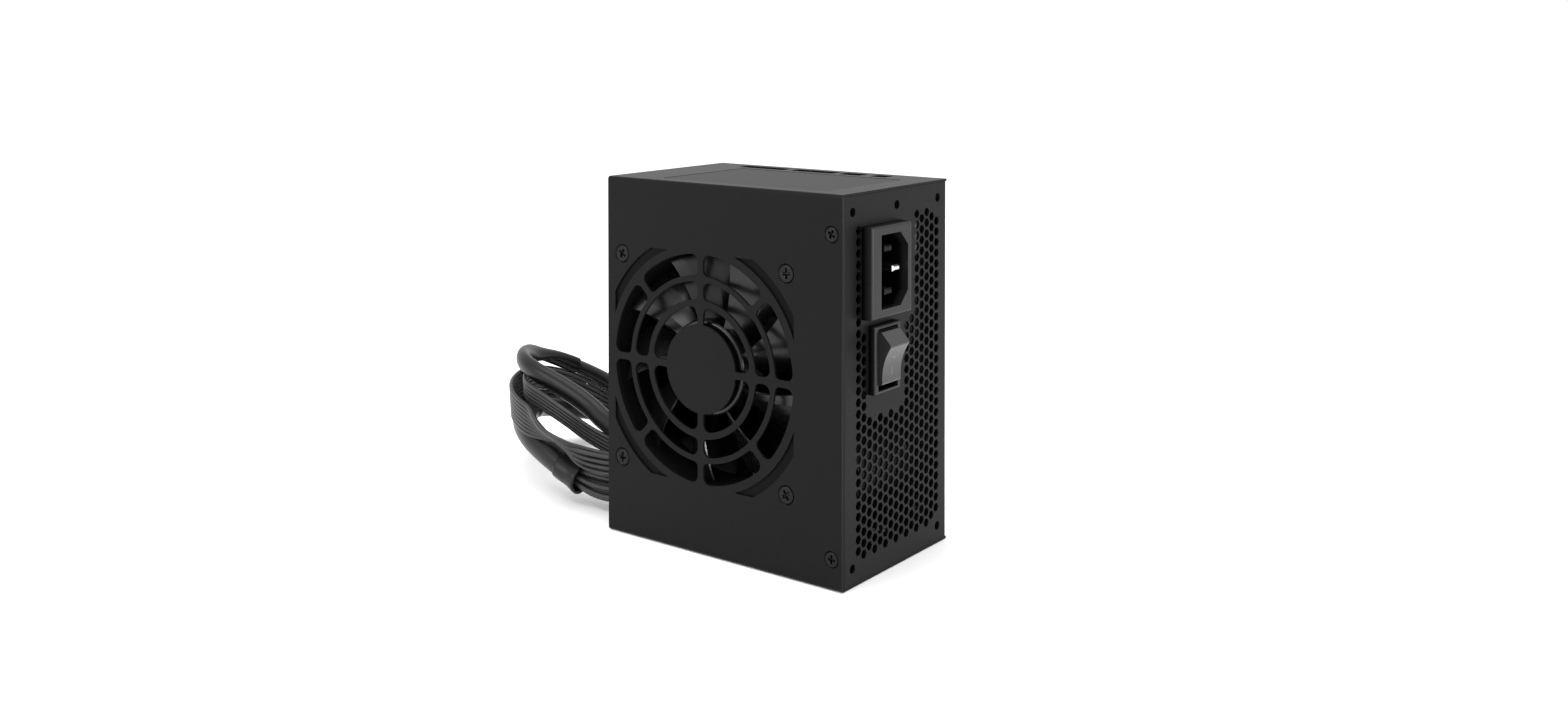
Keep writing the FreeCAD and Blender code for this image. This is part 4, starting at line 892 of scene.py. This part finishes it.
class PSU_OT_main_cable(bpy.types.Operator):
    """Makes the main cable: loose wires at the wall, a shrink collar, and a sleeve to its plug"""

    bl_idname = "psu.main_cable"
    bl_label = "Main cable"

    collar_share = (0.112, 0.145)
    sleeve_share = (0.135, 0.905)

    def execute(self, context):
        settings = context.scene.psu_cable
        points = centre_line("main_cable")
        count = len(points)
        wires = TubeSet(10)
        low, high = self.collar_share

        def spread_at_wall(share):
            swell = 0.12 * math.sin(math.pi * min(1, share / low))
            return mix(0.95, 0.72, smooth_step(0.05, high, share)) + swell

        for track in loose_strands(points, 0.0, high, settings.wire_radius, spread_at_wall):
            wires.add(track, settings.wire_radius)
        s0, s1 = self.sleeve_share
        for track in loose_strands(points, s1 - 0.03, 1.0, settings.wire_radius, lambda share: 0.75):
            wires.add(track, settings.wire_radius * 0.9)
        cable = wires.build("main_cable_wires", MATERIALS["wire"])

        sleeve = TubeSet(28)
        k0, k1 = int(s0 * (count - 1)), int(s1 * (count - 1))
        run = points[k0 : k1 + 1]
        first_r, full_r, last_r = SLEEVE_RADII
        radii = []
        flat = []
        for k in range(len(run)):
            share = k / (len(run) - 1)
            grow = smooth_step(0.0, 0.14, share)
            close = smooth_step(0.985, 1.0, share)
            radii.append(mix(mix(first_r, full_r, grow), last_r, close) * MM)
            flat.append((BACK_SIDE if share < 0.3 else UP, mix(0.92, 0.8, grow)))
        frames = carried_frames(run)
        flat = [(across(frames[k][0], way), share) for k, (way, share) in enumerate(flat)]
        sleeve.add(run, radii, flat)
        tube = sleeve.build("main_cable_sleeve", MATERIALS["shrink tube"])
        cable = join("main_cable_wires", [cable, tube])

        collar = self.collar(points, low, high)
        fan = self.fan_of_wires(points, s1, settings.wire_radius * 0.85)
        for piece in (collar, fan):
            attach(piece, "housing")
        declare_cable(cable, "main_cable")
        return {"FINISHED"}

    def collar(self, points, low, high):
        """A cuff of shrink tube with an open, flared mouth towards the wall."""
        count = len(points)
        k0, k1 = int(low * (count - 1)), int(high * (count - 1)) + 2
        run = points[k0 : k1 + 1]
        frames = carried_frames(run)
        verts, faces = [], []
        sides = COLLAR_SIDES
        rings = []
        walls = ((COLLAR_OUTER, range(len(run))), (COLLAR_INNER, range(len(run) - 1, -1, -1)))
        for (mouth_r, body_r), steps in walls:
            for k in steps:
                share = k / (len(run) - 1)
                rings.append((k, mix(mouth_r, body_r, smooth_step(0.0, 0.45, share)) * MM))
        for k, radius in rings:
            _, n, b = frames[k]
            for i in range(sides):
                a = 2 * math.pi * i / sides
                dent = 1 + 0.05 * math.sin(2 * a + 0.6) + 0.03 * math.sin(3 * a)
                verts.append(run[k] + (n * math.cos(a) + b * math.sin(a)) * radius * dent)
        total = len(rings)
        for r in range(total):
            for i in range(sides):
                j = (i + 1) % sides
                a, b = r * sides, ((r + 1) % total) * sides
                faces.append((a + i, a + j, b + j, b + i))
        obj = mesh_object("main_cable_collar", verts, faces, MATERIALS["shrink tube"])
        recalculate_normals(obj)
        return obj

    def fan_of_wires(self, points, share_out, radius):
        """Wires that spread from the end of the sleeve to the plug's outer contacts."""
        plug_low, plug_high = (Vector(corner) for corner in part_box("main_plug"))
        start_k = int((share_out - 0.02) * (len(points) - 1))
        run = points[start_k:]
        frames = carried_frames(run)
        tubes = TubeSet(8)
        pitch = PLUG_PITCH * MM
        middle_y = (plug_low.y + plug_high.y) / 2
        middle_z = plug_low.z + PLUG_MIDDLE_HEIGHT * MM
        for row in (0, 1):
            for column in range(PLUG_COLUMNS):
                y = middle_y + (column - (PLUG_COLUMNS - 1) / 2) * pitch
                z = middle_z + (row - 0.5) * pitch
                if abs(y - points[-1].y) < SLEEVE_CLEAR * MM:
                    continue
                end = Vector((plug_low.x + 1.0 * MM, y, z))
                track = []
                for k, point in enumerate(run):
                    share = k / (len(run) - 1)
                    _, n, b = frames[k]
                    angle = 2.4 * column + row
                    inner = point + (n * math.cos(angle) + b * math.sin(angle)) * 2.6 * MM
                    shift = end - run[-1]
                    track.append(inner.lerp(point + shift, smooth_step(0.08, 0.95, share)))
                tubes.add(track, radius)
        return tubes.build("main_plug_wires", MATERIALS["wire"])


def flat_layout(stages):
    """A layout that moves between stages, each (share, pitch along, pitch across, whether doubled, way)."""

    def layout(share, i, wires):
        for a, b in zip(stages[:-1], stages[1:]):
            if share <= b[0] or b is stages[-1]:
                t = smooth_step(a[0], b[0], share)
                break
        spots = []
        for _, along, across_, double, _way in (a, b):
            rows = wires / 2 if double else wires
            row = i // 2 if double else i
            column = (i % 2) - 0.5 if double else 0.0
            spots.append(((row - (rows - 1) / 2) * along * MM, column * across_ * MM))
        way = a[4].lerp(b[4], t)
        u = mix(spots[0][0], spots[1][0], t)
        v = mix(spots[0][1], spots[1][1], t)
        return way, u, v

    return layout


class PSU_OT_cpu_cable(bpy.types.Operator):
    """Makes the processor cable: eight wires that lie flat where they leave and gather towards their plug"""

    bl_idname = "psu.cpu_cable"
    bl_label = "Processor cable"

    def execute(self, context):
        settings = context.scene.psu_cable
        pitch = settings.ribbon_pitch / MM
        wires = settings.ribbon_wires
        stages = (
            (0.0, 2.35, 2.0, True, Vector((0, -0.15, 1))),
            (0.05, 2.3, 2.0, True, Vector((0, -0.25, 1))),
            (0.14, pitch, 0.0, False, Vector((0, -0.9, 0.75))),
            (0.205, pitch, 0.0, False, Vector((0, -0.1, 1))),
            (0.40, pitch, 0.0, False, Vector((0, 0, 1))),
            (0.58, 1.8, 1.7, True, Vector((0, 0.6, 0.8))),
            (0.93, 1.8, 1.7, True, Vector((0, 1, 0.1))),
            (1.0, 3.9, 3.6, True, Vector((0, 1, 0))),
        )
        layout = flat_layout(stages)
        points = centre_line("cpu_cable")
        tubes = TubeSet(10)
        for track in fan_out(points, lambda share, i: layout(share, i, wires), wires):
            tubes.add(track, pitch * 0.5 * MM)
        cable = tubes.build("cpu_cable_wires", MATERIALS["wire"])
        declare_cable(cable, "cpu_cable")
        return {"FINISHED"}


class PSU_OT_drive_cable(bpy.types.Operator):
    """Makes the drive cable: a narrow flat cable to a drive plug"""

    bl_idname = "psu.drive_cable"
    bl_label = "Drive cable"

    def execute(self, context):
        settings = context.scene.psu_cable
        wires = settings.drive_wires
        stages = (
            (0.0, 1.5, 1.5, True, Vector((0, 0, 1))),
            (0.06, 1.5, 0.6, False, Vector((0, -0.2, 1))),
            (0.16, 1.6, 0.0, False, Vector((0, -0.35, 1))),
            (0.34, 1.6, 0.0, False, Vector((0, 0, 1))),
            (0.93, 1.6, 0.0, False, Vector((0, 0.2, 1))),
            (1.0, 2.3, 0.0, False, Vector((0, 0, 1))),
        )
        layout = flat_layout(stages)
        points = centre_line("drive_cable")
        tubes = TubeSet(10)
        for track in fan_out(points, lambda share, i: layout(share, i, wires), wires):
            tubes.add(track, DRIVE_WIRE_RADIUS * MM)
        cable = tubes.build("drive_cable_wires", MATERIALS["wire"])
        declare_cable(cable, "drive_cable")
        return {"FINISHED"}


class PSU_OT_graphics_cable(bpy.types.Operator):
    """Makes the graphics cable: a smooth sleeve with its wires coming out at the plug"""

    bl_idname = "psu.graphics_cable"
    bl_label = "Graphics cable"

    def execute(self, context):
        settings = context.scene.psu_cable
        points = centre_line("graphics_cable")
        frames = carried_frames(points)
        count = len(points)
        last = int(0.93 * (count - 1))
        radii, flat = [], []
        for k in range(last + 1):
            share = k / (count - 1)
            body = mix(4.1, 3.7, smooth_step(0.1, 0.3, share))
            end = mix(1.0, 0.85, smooth_step(0.91, 0.93, share))
            radii.append(body * end * MM)
            flat.append((across(frames[k][0], BACK_SIDE if share < 0.45 else UP), 0.72))
        sleeve = TubeSet(28)
        sleeve.add(points[: last + 1], radii, flat)
        cable = sleeve.build("graphics_cable_sleeve", MATERIALS["shrink tube"])
        stages = (
            (0.0, 1.4, 1.5, True, Vector((0, 1, 0))),
            (0.93, 1.4, 1.5, True, Vector((0, 1, 0))),
            (1.0, 3.7, 3.4, True, Vector((0, 1, 0))),
        )
        layout = flat_layout(stages)
        tubes = TubeSet(8)
        start = int(0.9 * (count - 1))
        for track in fan_out(points, lambda share, i: layout(share, i, 8), 8):
            tubes.add(track[start:], settings.wire_radius * 0.72)
        wires = tubes.build("graphics_cable_wires", MATERIALS["wire"])
        cable = join("graphics_cable_sleeve", [cable, wires])
        declare_cable(cable, "graphics_cable")
        return {"FINISHED"}


# ---------------------------------------------------------------- the panel and the run
OPERATORS = (
    PSU_OT_camera,
    PSU_OT_finishes,
    PSU_OT_screws,
    PSU_OT_marks,
    PSU_OT_main_cable,
    PSU_OT_cpu_cable,
    PSU_OT_drive_cable,
    PSU_OT_graphics_cable,
    PSU_OT_stage,
)


class PSU_PT_panel(bpy.types.Panel):
    """Lists the pieces in the order they are made"""

    bl_label = "Power supply"
    bl_idname = "PSU_PT_panel"
    bl_space_type = "VIEW_3D"
    bl_region_type = "UI"
    bl_category = "Power supply"

    def draw(self, context):
        for operator in OPERATORS:
            self.layout.operator(operator.bl_idname)


SETTINGS = (PSU_CableSettings, PSU_FinishSettings, PSU_FastenerSettings)


def register():
    for cls in SETTINGS + OPERATORS + (PSU_PT_panel,):
        bpy.utils.register_class(cls)
    bpy.types.Scene.psu_cable = PointerProperty(type=PSU_CableSettings)
    bpy.types.Scene.psu_finish = PointerProperty(type=PSU_FinishSettings)
    bpy.types.Scene.psu_fastener = PointerProperty(type=PSU_FastenerSettings)


def unregister():
    del bpy.types.Scene.psu_fastener
    del bpy.types.Scene.psu_finish
    del bpy.types.Scene.psu_cable
    for cls in reversed(SETTINGS + OPERATORS + (PSU_PT_panel,)):
        bpy.utils.unregister_class(cls)


def main():
    register()
    for operator in OPERATORS:
        group, name = operator.bl_idname.split(".")
        result = getattr(getattr(bpy.ops, group), name)()
        if result != {"FINISHED"}:
            raise RuntimeError(f"{operator.bl_label} didn't finish")


if __name__ == "__main__":
    main()
